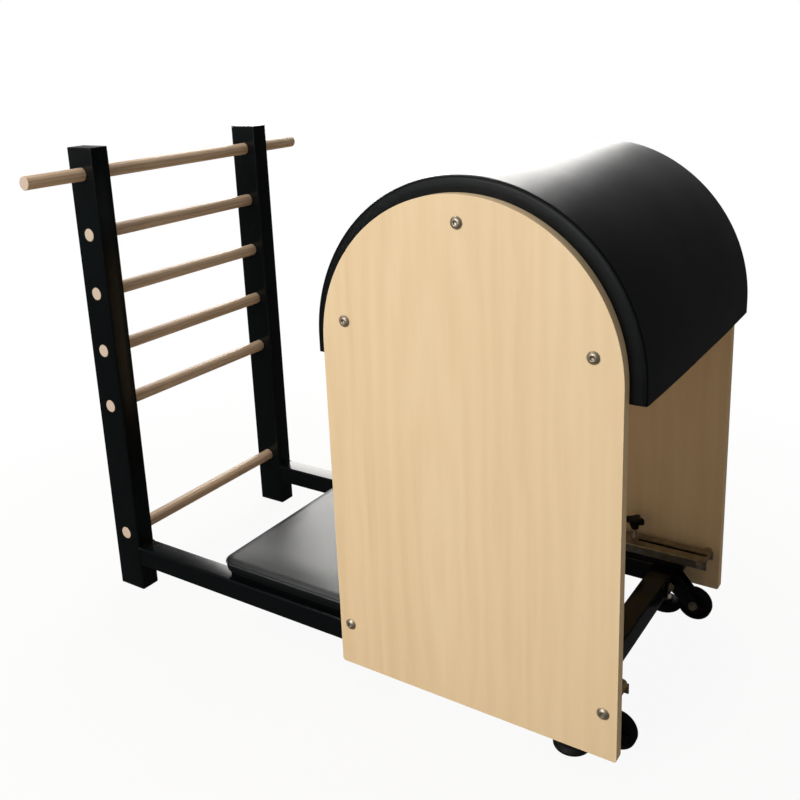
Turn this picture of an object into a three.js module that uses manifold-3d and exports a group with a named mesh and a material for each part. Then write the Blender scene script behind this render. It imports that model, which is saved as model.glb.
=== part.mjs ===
// A pilates ladder barrel: a ladder of beech rungs in two steel uprights, joined by two long
// side rails to a padded half barrel that slides on the rails between two wooden panels.
// Millimetres. X runs from the ladder to the barrel, Y runs across, Z runs up from the floor.
// The origin lies on the floor, at the middle of the length and the width.
import * as THREE from 'three';
import { mergeVertices } from 'three/addons/utils/BufferGeometryUtils.js';
import Module from 'manifold-3d';

const wasm = await Module();
wasm.setup();

// Fits and cutters
const seat = 0.3; // gap left where two pieces meet
const overrun = 6; // how far a cutter runs past the face that it cuts

// Steel frame
const frameWidth = 542; // over the outer faces of the uprights and the side rails
const tubeWidth = 45;
const tubeWall = 2;
const tubeCorner = 4;
const uprightDepth = 75;
const uprightHeight = 1012;
const railHeight = 45;
const railTop = 107;
const frameRearFromBarrel = 197; // from the barrel's axis to the rear end of the frame
const crossDepth = 45;

// Plastic plugs in the ends of the tubes
const plugThickness = 4;
const plugSpigot = 10;
const plugWall = 2.5;
const plugBevel = 1;

// Rungs
const rungDiameter = 28;
const rungChamfer = 1.2;
const topRungLength = 820;
const topRungDrop = 55; // from the top of the uprights to the top rung
const rungSpacing = 128;
const upperRungs = 5;
const bottomRungAboveRail = 28.5;

// Foot platform
const platformFromFront = 321;
const platformLength = 360;
const platformMargin = 4; // from the frame's outer side to the cushion's side
const platformCorner = 24;
const boardThickness = 12;
const boardInset = 4; // from the cushion's ends to the board's
const boardRunnerGap = 5; // between the board and the runners' lips, which pass beside it
const cushionThickness = 29;
const cushionCrown = 4;
const cushionSeamDrop = 9; // from the cushion's highest point to its seam
const cushionDraw = 2.5; // how far the sides pull in below the seam
const cushionEdge = 16; // width of the rounding above the seam
const cushionFoot = 6; // rounding of the lower edge

// Levelling feet at the rear corners
const footRadius = 34;
const footContactRadius = 22;
const footHeight = 21;
const footWidestHeight = 9;
const footNeckRadius = 15;
const footStemRadius = 5;
const footStemBelowRailTop = 19;
const footFlangeRadius = 13;
const footFlangeHeight = 3;
const footNutRadius = 9.8;
const footNutHeight = 8;

// Transport wheels
const wheelRadius = 35;
const wheelWidth = 20;
const wheelInset = 49; // from the frame's outer side to the middle of the wheel
const wheelGroundClearance = 9.5;
const wheelFrameClearance = 13;
const wheelEdge = 6;
const wheelHubRadius = 12;
const wheelRimWall = 8;
const wheelWebRecess = 4;
const wheelSideClearance = 1;
const forkThickness = 3;
const forkEndRadius = 14;
const forkBelowRailTop = 4;
const forkBaseHeight = 37;
const forkShoulder = 16;
const forkBaseReach = 32; // base plate beyond the wheel, towards the middle
const forkBoltInset = 14;

// Wooden side panels
const panelWidth = 550;
const panelThickness = 20;
const panelBottom = 49;
const panelCorner = 5;
const panelBevel = 1.5;
const panelFrameGap = 15; // between the frame's outer side and a panel
const barrelFromFront = 951; // from the ladder's front face to the barrel's axis
const barrelAxisHeight = 690;

// Barrel
const padProud = 30; // how far the pad stands out beyond the panels' arch
const padCrown = 2.5;
const padEdge = 8;
const padSkirt = 26; // straight part below the axis
const padEndClearance = 0.6;
const shellInset = 11; // from the panels' arch to the shell's outer face
const shellThickness = 12;
const battenWidth = 40;
const battenBack = 18; // from the bolt line to the batten's inner face
const battenChamfer = 3;
const archBoltInset = 44; // from the panels' arch to the bolts
const sideBoltRise = 45; // side bolts above the barrel's axis

// Bolts
const boltRadius = 4;
const boltClearance = 0.4;
const boltHeadRadius = 10.5;
const boltHeadHeight = 4.6;
const boltRimHeight = 1.4;
const boltDomeRadius = 7;
const boltSocketRadius = 3.6;
const boltSocketDepth = 2.8;
const boltGrip = 32; // length in the piece behind the panel
const boltBottom = 3; // spare depth past the end of a bolt
const lowerBoltInset = 24; // from the panel's side edge
const lowerBoltAboveRail = 27.5;
const hexRadius = 7.4;
const hexHeight = 6;
const washerRadius = 9;
const washerThickness = 1.8;

// Slides that carry the barrel on the rails
const slideHeight = 36; // from the rail to the top of the channel
const slideSheet = 3;
const slideBend = 3; // outer radius of the bends
const slideFlange = 20;
const slideFrontReach = 55; // from the barrel's axis to the slide's front end
const slideRearInset = 11; // from the panel's rear edge
const slideWidth = 52; // centred on the rail
const slotClearance = 1.2;
const slotRearLand = 9; // metal left behind the channel's slot, besides the slot's own radius
const barSideClearance = 0.5;
const barRearOverhang = 20; // bar behind the rear end of the rail, with the barrel fully back
const spacerRadius = 8; // collar of the rear bolt, between slide and panel
const runnerLength = 44;
const runnerBearing = 19; // width of rail under a runner's lip
const runnerLip = 8; // thickness of the lip, which passes under the cushion's side
const runnerHeight = 45;
const runnerDrop = 20; // how far a runner reaches down beside the rail
const runnerChamfer = 3;

// Clamping knobs
const knobFromBarrel = 103;
const studRadius = 4;
const studBelowRailTop = 20;
const studInKnob = 12;
const knobRise = 24; // bare stud between the slide and the knob
const knobHubRadius = 9;
const knobHubHeight = 12;
const knobStarRadius = 17;
const knobLobe = 3.5;
const knobLobes = 4;
const knobStarHeight = 13;
const knobBevel = 2;
const clampWasherRadius = 10.5;
const clampWasherThickness = 2;

// Fineness of the round shapes
const roundSides = 20;
const smallSides = 14;
const wheelSides = 26;
const archSteps = 36;
const cornerSteps = 3;
const lobeSteps = 6;

// Places that follow from the sizes above
const frameSide = frameWidth / 2;
const archRadius = panelWidth / 2;
const padRadius = archRadius + padProud;
const shellRadius = archRadius - shellInset;
const archBoltRadius = archRadius - archBoltInset;
const overallLength = barrelFromFront + padRadius;
const frontX = -overallLength / 2;
const uprightX = frontX + uprightDepth / 2;
const barrelX = frontX + barrelFromFront;
const rearX = barrelX + frameRearFromBarrel;
const railY = frameSide - tubeWidth / 2;
const railZ = railTop - railHeight / 2;
const panelInnerY = frameSide + panelFrameGap;
const panelOuterY = panelInnerY + panelThickness;
const betweenPanels = 2 * panelInnerY;
const knobX = barrelX + knobFromBarrel;
const footX = rearX - crossDepth / 2;
const wheelX = rearX + wheelRadius + wheelFrameClearance;
const wheelY = frameSide - wheelInset;
const wheelZ = wheelRadius + wheelGroundClearance;
const forkTop = railTop - forkBelowRailTop;
const forkBottom = forkTop - forkBaseHeight;
const slideTop = railTop + slideHeight;
const slideUnder = slideTop - slideSheet;
const slideInnerSide = railY - slideWidth / 2;
const slideOuterSide = railY + slideWidth / 2;
const slideRearReach = archRadius - slideRearInset;
const knobBottom = slideTop + knobRise;
const studBottom = railTop - studBelowRailTop;
const lowerBoltReach = archRadius - lowerBoltInset;
const lowerBoltZ = railTop + lowerBoltAboveRail;
const runnerInnerSide = frameSide - runnerBearing;
const boltHole = boltRadius + boltClearance;
const slotRadius = studRadius + slotClearance;
const rungRadius = rungDiameter / 2;
const runnerX = barrelX - lowerBoltReach;
const platformX = frontX + platformFromFront + platformLength / 2;
const platformWidth = frameWidth - 2 * platformMargin;
const boardWidth = 2 * (runnerInnerSide - boardRunnerGap);
const boardTop = railTop + seat + boardThickness;
const rungHeights = [];
for (let i = 0; i < upperRungs; i += 1) {
  rungHeights.push(uprightHeight - topRungDrop - i * rungSpacing);
}
rungHeights.push(railTop + bottomRungAboveRail);

// Materials
function material(color, roughness, metalness) {
  return new THREE.MeshStandardMaterial({ color, roughness, metalness });
}
const blackSteel = material(0x0c0c0e, 0.3, 0.4);
const blackPlastic = material(0x121212, 0.55, 0);
const rubber = material(0x101010, 0.8, 0);
const beech = material(0xd8b085, 0.5, 0);
const maple = material(0xdfc49e, 0.45, 0);
const plywood = material(0xc9a678, 0.6, 0);
const blackBoard = material(0x161513, 0.7, 0);
const leatherette = material(0x131315, 0.45, 0);
const satinSteel = material(0x9a988e, 0.4, 1);
const chrome = material(0xcfd0d2, 0.12, 1);

// The object, its fixed frame and its sliding barrel, with a mirrored group for the left side.
// Left is the left hand of someone who sits on the barrel and faces the ladder.
const object = new THREE.Group();
const frame = new THREE.Group();
const barrel = new THREE.Group();
object.add(frame, barrel);

const sides = ['right', 'left'].map((name) => {
  const side = { name, frame: new THREE.Group(), barrel: new THREE.Group() };
  side.frame.scale.y = name === 'left' ? -1 : 1;
  side.barrel.scale.y = side.frame.scale.y;
  frame.add(side.frame);
  barrel.add(side.barrel);
  return side;
});

function place(group, name, geometry, finish, x, y, z) {
  const mesh = new THREE.Mesh(geometry, finish);
  mesh.name = name;
  mesh.position.set(x, y, z);
  group.add(mesh);
  return mesh;
}

// A closed geometry as a solid that can be joined and cut, and back again.
function solid(geometry) {
  const plain = geometry.index ? geometry.toNonIndexed() : geometry.clone();
  plain.deleteAttribute('normal');
  plain.deleteAttribute('uv');
  const merged = mergeVertices(plain);
  const mesh = new wasm.Mesh({
    numProp: 3,
    vertProperties: merged.attributes.position.array,
    triVerts: new Uint32Array(merged.index.array),
  });
  return new wasm.Manifold(mesh);
}

function geometryOf(body) {
  const { vertProperties, triVerts } = body.getMesh();
  const geometry = new THREE.BufferGeometry();
  geometry.setAttribute('position', new THREE.BufferAttribute(vertProperties, 3));
  geometry.setIndex(new THREE.BufferAttribute(triVerts, 1));
  const flat = geometry.toNonIndexed();
  flat.computeVertexNormals();
  return flat;
}

function cut(geometry, ...tools) {
  return geometryOf(tools.reduce((body, tool) => body.subtract(solid(tool)), solid(geometry)));
}

function join(geometry, ...others) {
  return geometryOf(others.reduce((body, other) => body.add(solid(other)), solid(geometry)));
}

// Points along an arc, so that each round stretch of an outline has its own count of steps.
function arc(x, y, radius, from, to, steps = cornerSteps) {
  const points = [];
  for (let i = 0; i <= steps; i += 1) {
    const angle = from + ((to - from) * i) / steps;
    points.push(new THREE.Vector2(x + radius * Math.cos(angle), y + radius * Math.sin(angle)));
  }
  return points;
}

const quarter = Math.PI / 2;

function roundedRectangle(width, height, radius, steps = cornerSteps) {
  const x = width / 2 - radius;
  const y = height / 2 - radius;
  return [
    ...arc(x, y, radius, 0, quarter, steps),
    ...arc(-x, y, radius, quarter, 2 * quarter, steps),
    ...arc(-x, -y, radius, 2 * quarter, 3 * quarter, steps),
    ...arc(x, -y, radius, 3 * quarter, 4 * quarter, steps),
  ];
}

function rectangle(width, height) {
  return [[1, 1], [-1, 1], [-1, -1], [1, -1]].map(([x, y]) => (
    new THREE.Vector2((x * width) / 2, (y * height) / 2)
  ));
}

// Points of an outline, less any holes, extruded to a length and centred on the origin along Z.
function prism(points, length, { holes = [], bevel = 0 } = {}) {
  const shape = new THREE.Shape(points);
  shape.holes = holes.map((hole) => new THREE.Path(hole));
  const geometry = new THREE.ExtrudeGeometry(shape, {
    depth: length - 2 * bevel,
    bevelEnabled: bevel > 0,
    bevelThickness: bevel,
    bevelSize: bevel,
    bevelOffset: -bevel,
    bevelSegments: 1,
  });
  return geometry.translate(0, 0, bevel - length / 2);
}

const axisX = new THREE.Vector3(1, 0, 0);
const axisY = new THREE.Vector3(0, 1, 0);
const axisZ = new THREE.Vector3(0, 0, 1);

function alongX(geometry) {
  return geometry.applyMatrix4(new THREE.Matrix4().makeBasis(axisY, axisZ, axisX));
}

function alongY(geometry) {
  return geometry.applyMatrix4(new THREE.Matrix4().makeBasis(axisX, axisZ, axisY.clone().negate()));
}

// A profile of radius and height pairs turned about Y, or about Z.
function turned(profile, count = roundSides) {
  return new THREE.LatheGeometry(profile.map(([r, h]) => new THREE.Vector2(r, h)), count);
}

function turnedUp(profile, count) {
  return turned(profile, count).rotateX(Math.PI / 2);
}

function rod(radius, length, count = roundSides) {
  return new THREE.CylinderGeometry(radius, radius, length, count);
}

function uprightRod(radius, length, count) {
  return rod(radius, length, count).rotateX(Math.PI / 2);
}

function lyingRod(radius, length, count) {
  return rod(radius, length, count).rotateZ(Math.PI / 2);
}

function boxTube(width, height, length) {
  const bore = roundedRectangle(width - 2 * tubeWall, height - 2 * tubeWall, tubeCorner - tubeWall);
  return prism(roundedRectangle(width, height, tubeCorner), length, { holes: [bore] });
}

// Ladder uprights: box tubes that stand on the floor, drilled through for the rungs.
function uprightTube() {
  const length = uprightHeight - 2 * (plugThickness + seat);
  const tube = boxTube(uprightDepth, tubeWidth, length);
  const holes = rungHeights.map((height) => {
    const drill = rod(rungRadius + seat, tubeWidth + 2 * overrun);
    return drill.translate(0, 0, height - uprightHeight / 2);
  });
  return cut(tube, ...holes);
}

// A plug for the end of a tube: a cover plate and an open spigot inside the tube, pointing down.
function tubePlug(width, height) {
  const cover = prism(roundedRectangle(width, height, tubeCorner), plugThickness, { bevel: plugBevel });
  const inner = 2 * (tubeWall + seat);
  const hollow = inner + 2 * plugWall;
  const depth = plugThickness / 2 + plugSpigot;
  const spigot = prism(roundedRectangle(width - inner, height - inner, tubeCorner - tubeWall, 1), depth, {
    holes: [rectangle(width - hollow, height - hollow)],
  });
  spigot.translate(0, 0, -depth / 2);
  return join(cover, spigot);
}

// A side rail: drilled below for the levelling foot and above for the clamping stud.
function sideRail() {
  const front = frontX + uprightDepth + seat;
  const rear = rearX - plugThickness - seat;
  const middle = (front + rear) / 2;
  const tube = alongX(boxTube(tubeWidth, railHeight, rear - front));
  const reach = tubeWall + 2 * overrun;
  const footHole = uprightRod(footStemRadius + seat, reach, smallSides);
  footHole.translate(footX - middle, 0, -railHeight / 2);
  const studHole = uprightRod(studRadius + seat, reach, smallSides);
  studHole.translate(knobX - middle, 0, railHeight / 2);
  return { geometry: cut(tube, footHole, studHole), middle };
}

// Rear cross member, between the ends of the side rails.
function crossMember() {
  const length = frameWidth - 2 * (tubeWidth + seat);
  const tube = alongY(boxTube(crossDepth, railHeight, length));
  const drill = lyingRod(boltHole, tubeWall + 2 * overrun, smallSides);
  const holes = [1, -1].map((way) => drill.clone().translate(crossDepth / 2, way * forkBoltY, forkBoltZ - railZ));
  return cut(tube, ...holes);
}

// Rungs: turned beech rods. The top one runs on through the uprights as a pair of handles.
function rung(length) {
  const half = length / 2;
  return turned([
    [0, -half],
    [rungRadius - rungChamfer, -half],
    [rungRadius, -half + rungChamfer],
    [rungRadius, half - rungChamfer],
    [rungRadius - rungChamfer, half],
    [0, half],
  ]);
}

// A closed skin over rings of points with the same count, from the bottom ring to the top one.
function skin(rings) {
  const count = rings[0].length;
  const corners = rings.flat();
  const faces = [];
  for (let i = 0; i + 1 < rings.length; i += 1) {
    for (let j = 0; j < count; j += 1) {
      const a = i * count + j;
      const b = i * count + ((j + 1) % count);
      faces.push(a, b, b + count, a, b + count, a + count);
    }
  }
  [0, rings.length - 1].forEach((i) => {
    const centre = new THREE.Vector3();
    rings[i].forEach((corner) => centre.addScaledVector(corner, 1 / count));
    corners.push(centre);
    for (let j = 0; j < count; j += 1) {
      const a = i * count + j;
      const b = i * count + ((j + 1) % count);
      faces.push(...(i === 0 ? [b, a] : [a, b]), corners.length - 1);
    }
  });
  const geometry = new THREE.BufferGeometry().setFromPoints(corners);
  geometry.setIndex(faces);
  geometry.computeVertexNormals();
  return geometry;
}

// Foot platform: a black board and a wider cushion with a low crown, rounded above its seam, whose
// sides pull in below the seam.
function platformBoard() {
  const length = platformLength - 2 * boardInset;
  const radius = platformCorner - boardInset;
  return prism(roundedRectangle(length, boardWidth, radius, 2 * cornerSteps), boardThickness);
}

function platformCushion() {
  // Each ring: how far it lies inside the outline, and its height.
  const edgeInset = cushionEdge * (1 - Math.SQRT1_2);
  const rise = cushionThickness - cushionCrown;
  const seam = cushionThickness - cushionSeamDrop;
  const ringPlan = [
    [cushionDraw + cushionFoot / 2, 0],
    [cushionDraw, cushionFoot / 2],
    [cushionDraw / 2, seam / 2],
    [0, seam - cushionDraw],
    [cushionDraw / 2, seam],
    [edgeInset, seam + (rise - seam) * Math.SQRT1_2],
    [cushionEdge, rise],
  ];
  const crownShares = [0.25, 0.5, 0.75, 0.95];
  crownShares.forEach((share) => {
    const inset = cushionEdge + share * (platformLength / 2 - cushionEdge);
    ringPlan.push([inset, rise + cushionCrown * Math.sin((share * Math.PI) / 2)]);
  });
  const rings = ringPlan.map(([inset, height]) => {
    const width = platformLength - 2 * inset;
    const depth = platformWidth - 2 * inset;
    const radius = Math.max(platformCorner - inset, width * 0.1);
    const points = roundedRectangle(width, depth, radius, 2 * cornerSteps);
    return points.map((point) => new THREE.Vector3(point.x, point.y, height));
  });
  return skin(rings);
}

// Levelling feet: a domed rubber foot under a steel stem with a flange and a lock nut.
function rubberFoot() {
  return turnedUp([
    [0, 0],
    [footContactRadius, 0],
    [(footContactRadius + 2 * footRadius) / 3, footWidestHeight / 3],
    [footRadius, footWidestHeight],
    [(footRadius + footNeckRadius) / 2, (footHeight + footWidestHeight) / 2],
    [footNeckRadius, footHeight],
    [0, footHeight],
  ]);
}

function footStem() {
  const length = railTop - footStemBelowRailTop - footHeight - seat;
  const stem = uprightRod(footStemRadius, length, smallSides).translate(0, 0, length / 2);
  const flange = uprightRod(footFlangeRadius, footFlangeHeight).translate(0, 0, footFlangeHeight / 2);
  const nutZ = railTop - railHeight - seat - footNutHeight / 2 - footHeight - seat;
  const nut = uprightRod(footNutRadius, footNutHeight, 6).translate(0, 0, nutZ);
  return join(stem, flange, nut);
}

// Transport wheels, each in a forked bracket on the rear of the frame.
function wheel() {
  const half = wheelWidth / 2;
  const web = half - wheelWebRecess;
  const rim = wheelRadius - wheelRimWall;
  const bore = boltRadius + seat;
  const edge = wheelEdge * (1 - Math.SQRT1_2);
  return turned([
    [bore, -half],
    [wheelHubRadius, -half],
    [wheelHubRadius, -web],
    [rim, -web],
    [rim, -half],
    [wheelRadius - wheelEdge, -half],
    [wheelRadius - edge, -half + edge],
    [wheelRadius, -half + wheelEdge],
    [wheelRadius, half - wheelEdge],
    [wheelRadius - edge, half - edge],
    [wheelRadius - wheelEdge, half],
    [rim, half],
    [rim, web],
    [wheelHubRadius, web],
    [wheelHubRadius, half],
    [bore, half],
    [bore, -half],
  ], wheelSides);
}

const forkInside = wheelWidth + 2 * wheelSideClearance;
const forkOutside = forkInside + 2 * forkThickness;
const forkFaceX = rearX + seat;
const forkBoltY = wheelY - forkOutside / 2 - forkBaseReach + forkBoltInset;
const forkBoltZ = (forkTop + forkBottom) / 2;

// The angle at which a line from a point touches the circle, on its upper or lower side.
function touchAngle(dx, dz, radius, way) {
  return Math.atan2(dz, dx) + way * Math.acos(radius / Math.hypot(dx, dz));
}

function wheelFork() {
  const reach = wheelX - forkFaceX;
  const high = forkTop - wheelZ;
  const low = forkBottom - wheelZ;
  const from = touchAngle(forkShoulder - reach, high, forkEndRadius, -1);
  const to = touchAngle(-reach, low, forkEndRadius, 1) - 4 * quarter;
  const cheek = [
    new THREE.Vector2(-reach, low),
    new THREE.Vector2(-reach, high),
    new THREE.Vector2(forkShoulder - reach, high),
    ...arc(0, 0, forkEndRadius, from, to, 3 * cornerSteps),
  ];
  const hole = arc(0, 0, boltHole, 0, 4 * quarter, smallSides).slice(1);
  const offset = (forkInside + forkThickness) / 2;
  const plates = [1, -1].map((way) => {
    const plate = alongY(prism(cheek, forkThickness, { holes: [hole] }));
    return plate.translate(0, way * offset, 0);
  });
  const baseWidth = forkOutside + forkBaseReach;
  const base = new THREE.BoxGeometry(forkThickness, baseWidth, forkTop - forkBottom);
  base.translate(forkThickness / 2 - reach, -forkBaseReach / 2, (high + low) / 2);
  const drill = lyingRod(boltHole, forkThickness + 2 * overrun, smallSides);
  drill.translate(-reach, forkBoltY - wheelY, forkBoltZ - wheelZ);
  return cut(join(base, ...plates), drill);
}

// A hexagon bolt along Y with its washer under the head, and its nut and washer when it has one.
function hexBolt(grip, tail, withNut) {
  const length = grip + tail + washerThickness + hexHeight / 2;
  const shank = rod(boltRadius, length, smallSides).translate(0, length / 2 - grip - tail, 0);
  const washer = rod(washerRadius, washerThickness, smallSides).translate(0, washerThickness / 2, 0);
  const head = rod(hexRadius, hexHeight, 6).translate(0, washerThickness + hexHeight / 2, 0);
  const pieces = [washer, head];
  if (withNut) {
    const nutWasher = rod(washerRadius, washerThickness, smallSides);
    nutWasher.translate(0, -grip - washerThickness / 2, 0);
    const nut = rod(hexRadius, hexHeight, 6).translate(0, -grip - washerThickness - hexHeight / 2, 0);
    pieces.push(nutWasher, nut);
  }
  return join(shank, ...pieces);
}

// Side panels: straight sides under a half-round top, drilled for five bolts.
const sideBoltReach = Math.sqrt(archBoltRadius ** 2 - sideBoltRise ** 2);
const panelBolts = {
  top: [0, archBoltRadius],
  front: [-sideBoltReach, sideBoltRise],
  rear: [sideBoltReach, sideBoltRise],
  lower_front: [-lowerBoltReach, lowerBoltZ - barrelAxisHeight],
  lower_rear: [lowerBoltReach, lowerBoltZ - barrelAxisHeight],
};

function sidePanel() {
  const half = archRadius;
  const foot = panelBottom - barrelAxisHeight;
  const outline = [
    ...arc(0, 0, half, 0, 2 * quarter, archSteps),
    ...arc(panelCorner - half, foot + panelCorner, panelCorner, 2 * quarter, 3 * quarter),
    ...arc(half - panelCorner, foot + panelCorner, panelCorner, 3 * quarter, 4 * quarter),
  ];
  const board = alongY(prism(outline, panelThickness, { bevel: panelBevel }));
  const drills = Object.values(panelBolts).map(([x, z]) => (
    rod(boltHole, panelThickness + 2 * overrun, smallSides).translate(x, 0, z)
  ));
  return cut(board, ...drills);
}

// A button-head bolt along Y: the head stands outside the panel, with a hexagon socket.
function buttonBolt(length) {
  const turnedBody = turned([
    [0, -length],
    [boltRadius, -length],
    [boltRadius, 0],
    [boltHeadRadius, 0],
    [boltHeadRadius, boltRimHeight],
    [boltDomeRadius, boltHeadHeight],
    [0, boltHeadHeight],
  ], smallSides);
  const socket = rod(boltSocketRadius, 2 * boltSocketDepth, 6).translate(0, boltHeadHeight, 0);
  return cut(turnedBody, socket);
}

// The same with a collar behind the panel, and a washer and a nut at the end of its grip.
function throughBolt(grip, spacer) {
  const tail = washerThickness + hexHeight + boltRimHeight;
  const collar = rod(spacerRadius, spacer, smallSides).translate(0, -panelThickness - 2 * seat - spacer / 2, 0);
  const nutWasher = rod(washerRadius, washerThickness, smallSides);
  nutWasher.translate(0, -grip - washerThickness / 2, 0);
  const nut = rod(hexRadius, hexHeight, 6).translate(0, -grip - washerThickness - hexHeight / 2, 0);
  return join(buttonBolt(grip + tail), collar, nutWasher, nut);
}

// The bent plywood shell that carries the barrel's pad.
function barrelShell() {
  const inner = shellRadius - shellThickness;
  const outline = [
    new THREE.Vector2(shellRadius, -padSkirt),
    ...arc(0, 0, shellRadius, 0, 2 * quarter, archSteps),
    new THREE.Vector2(-shellRadius, -padSkirt),
    new THREE.Vector2(-inner, -padSkirt),
    ...arc(0, 0, inner, 2 * quarter, 0, archSteps),
    new THREE.Vector2(inner, -padSkirt),
  ];
  return alongY(prism(outline, betweenPanels - 2 * seat));
}

// The barrel's pad: foam and leatherette bent over the shell, with a low crown across,
// rounded edges beside the panels and rounded lower ends.
function barrelPad() {
  const bottom = shellRadius + seat;
  const halfLength = betweenPanels / 2 - padEndClearance;
  const edgeTop = padRadius - padCrown;
  const rounding = padEdge * (1 - Math.SQRT1_2);
  const crownShares = [0.8, 0.4, 0, -0.4, -0.8];
  const section = [
    [bottom, halfLength - rounding],
    [bottom + rounding, halfLength],
    [edgeTop - padEdge, halfLength],
    [edgeTop - rounding, halfLength - rounding],
    [edgeTop, halfLength - padEdge],
  ];
  crownShares.forEach((share) => {
    section.push([padRadius - padCrown * share ** 2, share * halfLength]);
  });
  section.push(
    [edgeTop, padEdge - halfLength],
    [edgeTop - rounding, rounding - halfLength],
    [edgeTop - padEdge, -halfLength],
    [bottom + rounding, -halfLength],
    [bottom, rounding - halfLength],
  );
  // Each station along the bend: its angle, its drop below the axis, and how much it is drawn in.
  const stations = [
    [0, padSkirt, rounding],
    [0, padSkirt - rounding, rounding / 2],
    [0, padSkirt - padEdge, 0],
  ];
  for (let i = 0; i <= archSteps; i += 1) {
    stations.push([(i * Math.PI) / archSteps, 0, 0]);
  }
  stations.push(
    [Math.PI, padSkirt - padEdge, 0],
    [Math.PI, padSkirt - rounding, rounding / 2],
    [Math.PI, padSkirt, rounding],
  );
  const rings = stations.map(([angle, drop, draw]) => section.map(([r, y]) => {
    const drawn = r > shellRadius + padEdge ? r - draw : r;
    const across = y - Math.sign(y) * draw;
    return new THREE.Vector3(drawn * Math.cos(angle), across, drawn * Math.sin(angle) - drop);
  }));
  return skin(rings.map((ring) => ring.reverse()));
}

// Battens between the panels, under the shell, that take the upper bolts.
function batten() {
  const outer = shellRadius - shellThickness - seat;
  const reach = Math.sqrt(outer ** 2 - (battenWidth / 2) ** 2) - archBoltRadius;
  const half = battenWidth / 2;
  const outline = [
    new THREE.Vector2(reach, -half),
    new THREE.Vector2(reach, half),
    new THREE.Vector2(battenChamfer - battenBack, half),
    new THREE.Vector2(-battenBack, half - battenChamfer),
    new THREE.Vector2(-battenBack, battenChamfer - half),
    new THREE.Vector2(battenChamfer - battenBack, -half),
  ];
  const length = betweenPanels - 2 * seat;
  const bar = alongY(prism(outline, length));
  const depth = boltGrip + boltBottom + overrun;
  const drills = [1, -1].map((way) => (
    rod(boltHole, depth, smallSides).translate(0, way * (length / 2 + overrun - depth / 2), 0)
  ));
  return cut(bar, ...drills);
}

// A slot along X, cut through Z, from one centre to another.
function slotCutter(length, depth) {
  const outline = [
    ...arc(length, 0, slotRadius, -quarter, quarter, 2 * cornerSteps),
    ...arc(0, 0, slotRadius, quarter, 3 * quarter, 2 * cornerSteps),
  ];
  return prism(outline, depth);
}

// Slides: a shallow steel channel over a nylon bar, with one slot for the clamping stud.
const slideLength = slideRearReach - slideFrontReach;
const slideX = barrelX + (slideFrontReach + slideRearReach) / 2;
const barBottom = railTop + seat;
const barInnerSide = slideInnerSide + slideSheet + barSideClearance;
const barOuterSide = slideOuterSide - slideSheet - barSideClearance;

function slideChannel() {
  const half = slideWidth / 2;
  const outline = [
    new THREE.Vector2(-half, -slideFlange),
    new THREE.Vector2(slideSheet - half, -slideFlange),
    new THREE.Vector2(slideSheet - half, -slideSheet),
    new THREE.Vector2(half - slideSheet, -slideSheet),
    new THREE.Vector2(half - slideSheet, -slideFlange),
    new THREE.Vector2(half, -slideFlange),
    ...arc(half - slideBend, -slideBend, slideBend, 0, quarter),
    ...arc(slideBend - half, -slideBend, slideBend, quarter, 2 * quarter),
  ];
  const channel = alongX(prism(outline, slideLength));
  const slotLength = slideRearReach - knobFromBarrel - slotRearLand;
  const slot = slotCutter(slotLength, slideSheet + 2 * overrun).translate(knobX - slideX, 0, 0);
  const boltX = barrelX + lowerBoltReach - slideX;
  const drill = rod(boltHole, slideWidth + 2 * overrun, smallSides);
  drill.translate(boltX, 0, lowerBoltZ - slideTop);
  return cut(channel, slot, drill);
}

// The bar ends soon behind the rail, where its slot is open.
const barLength = frameRearFromBarrel + barRearOverhang - slideFrontReach;
const barX = barrelX + slideFrontReach + barLength / 2;

function slideBar() {
  const height = slideUnder - seat - barBottom;
  const bar = new THREE.BoxGeometry(barLength, barOuterSide - barInnerSide, height);
  const slotLength = barX + barLength / 2 + overrun - knobX;
  const slot = slotCutter(slotLength, height + 2 * overrun).translate(knobX - barX, 0, 0);
  return cut(bar, slot);
}

// Front runners: guides on the panels that hook over the outer top edge of the rails. A lip lies on
// the rail, and the web beside the panel steps down past the rail's outer side.
const runnerWidth = panelInnerY - seat - runnerInnerSide;
const runnerStep = frameSide + seat - runnerInnerSide;
const runnerWeb = runnerWidth - runnerStep;

function frontRunner() {
  const height = runnerHeight - seat;
  const outline = [
    new THREE.Vector2(0, 0),
    new THREE.Vector2(runnerStep, 0),
    new THREE.Vector2(runnerStep, -runnerDrop),
    new THREE.Vector2(runnerWidth, -runnerDrop),
    new THREE.Vector2(runnerWidth, height),
    new THREE.Vector2(runnerStep + runnerChamfer, height),
    new THREE.Vector2(runnerStep, height - runnerChamfer),
    new THREE.Vector2(runnerStep, runnerLip),
    new THREE.Vector2(0, runnerLip),
  ];
  const guide = alongX(prism(outline, runnerLength));
  const drill = rod(boltHole, runnerWeb + 2 * overrun, smallSides);
  drill.translate(0, runnerStep + runnerWeb / 2, lowerBoltZ - barBottom);
  return cut(guide, drill);
}

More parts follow.
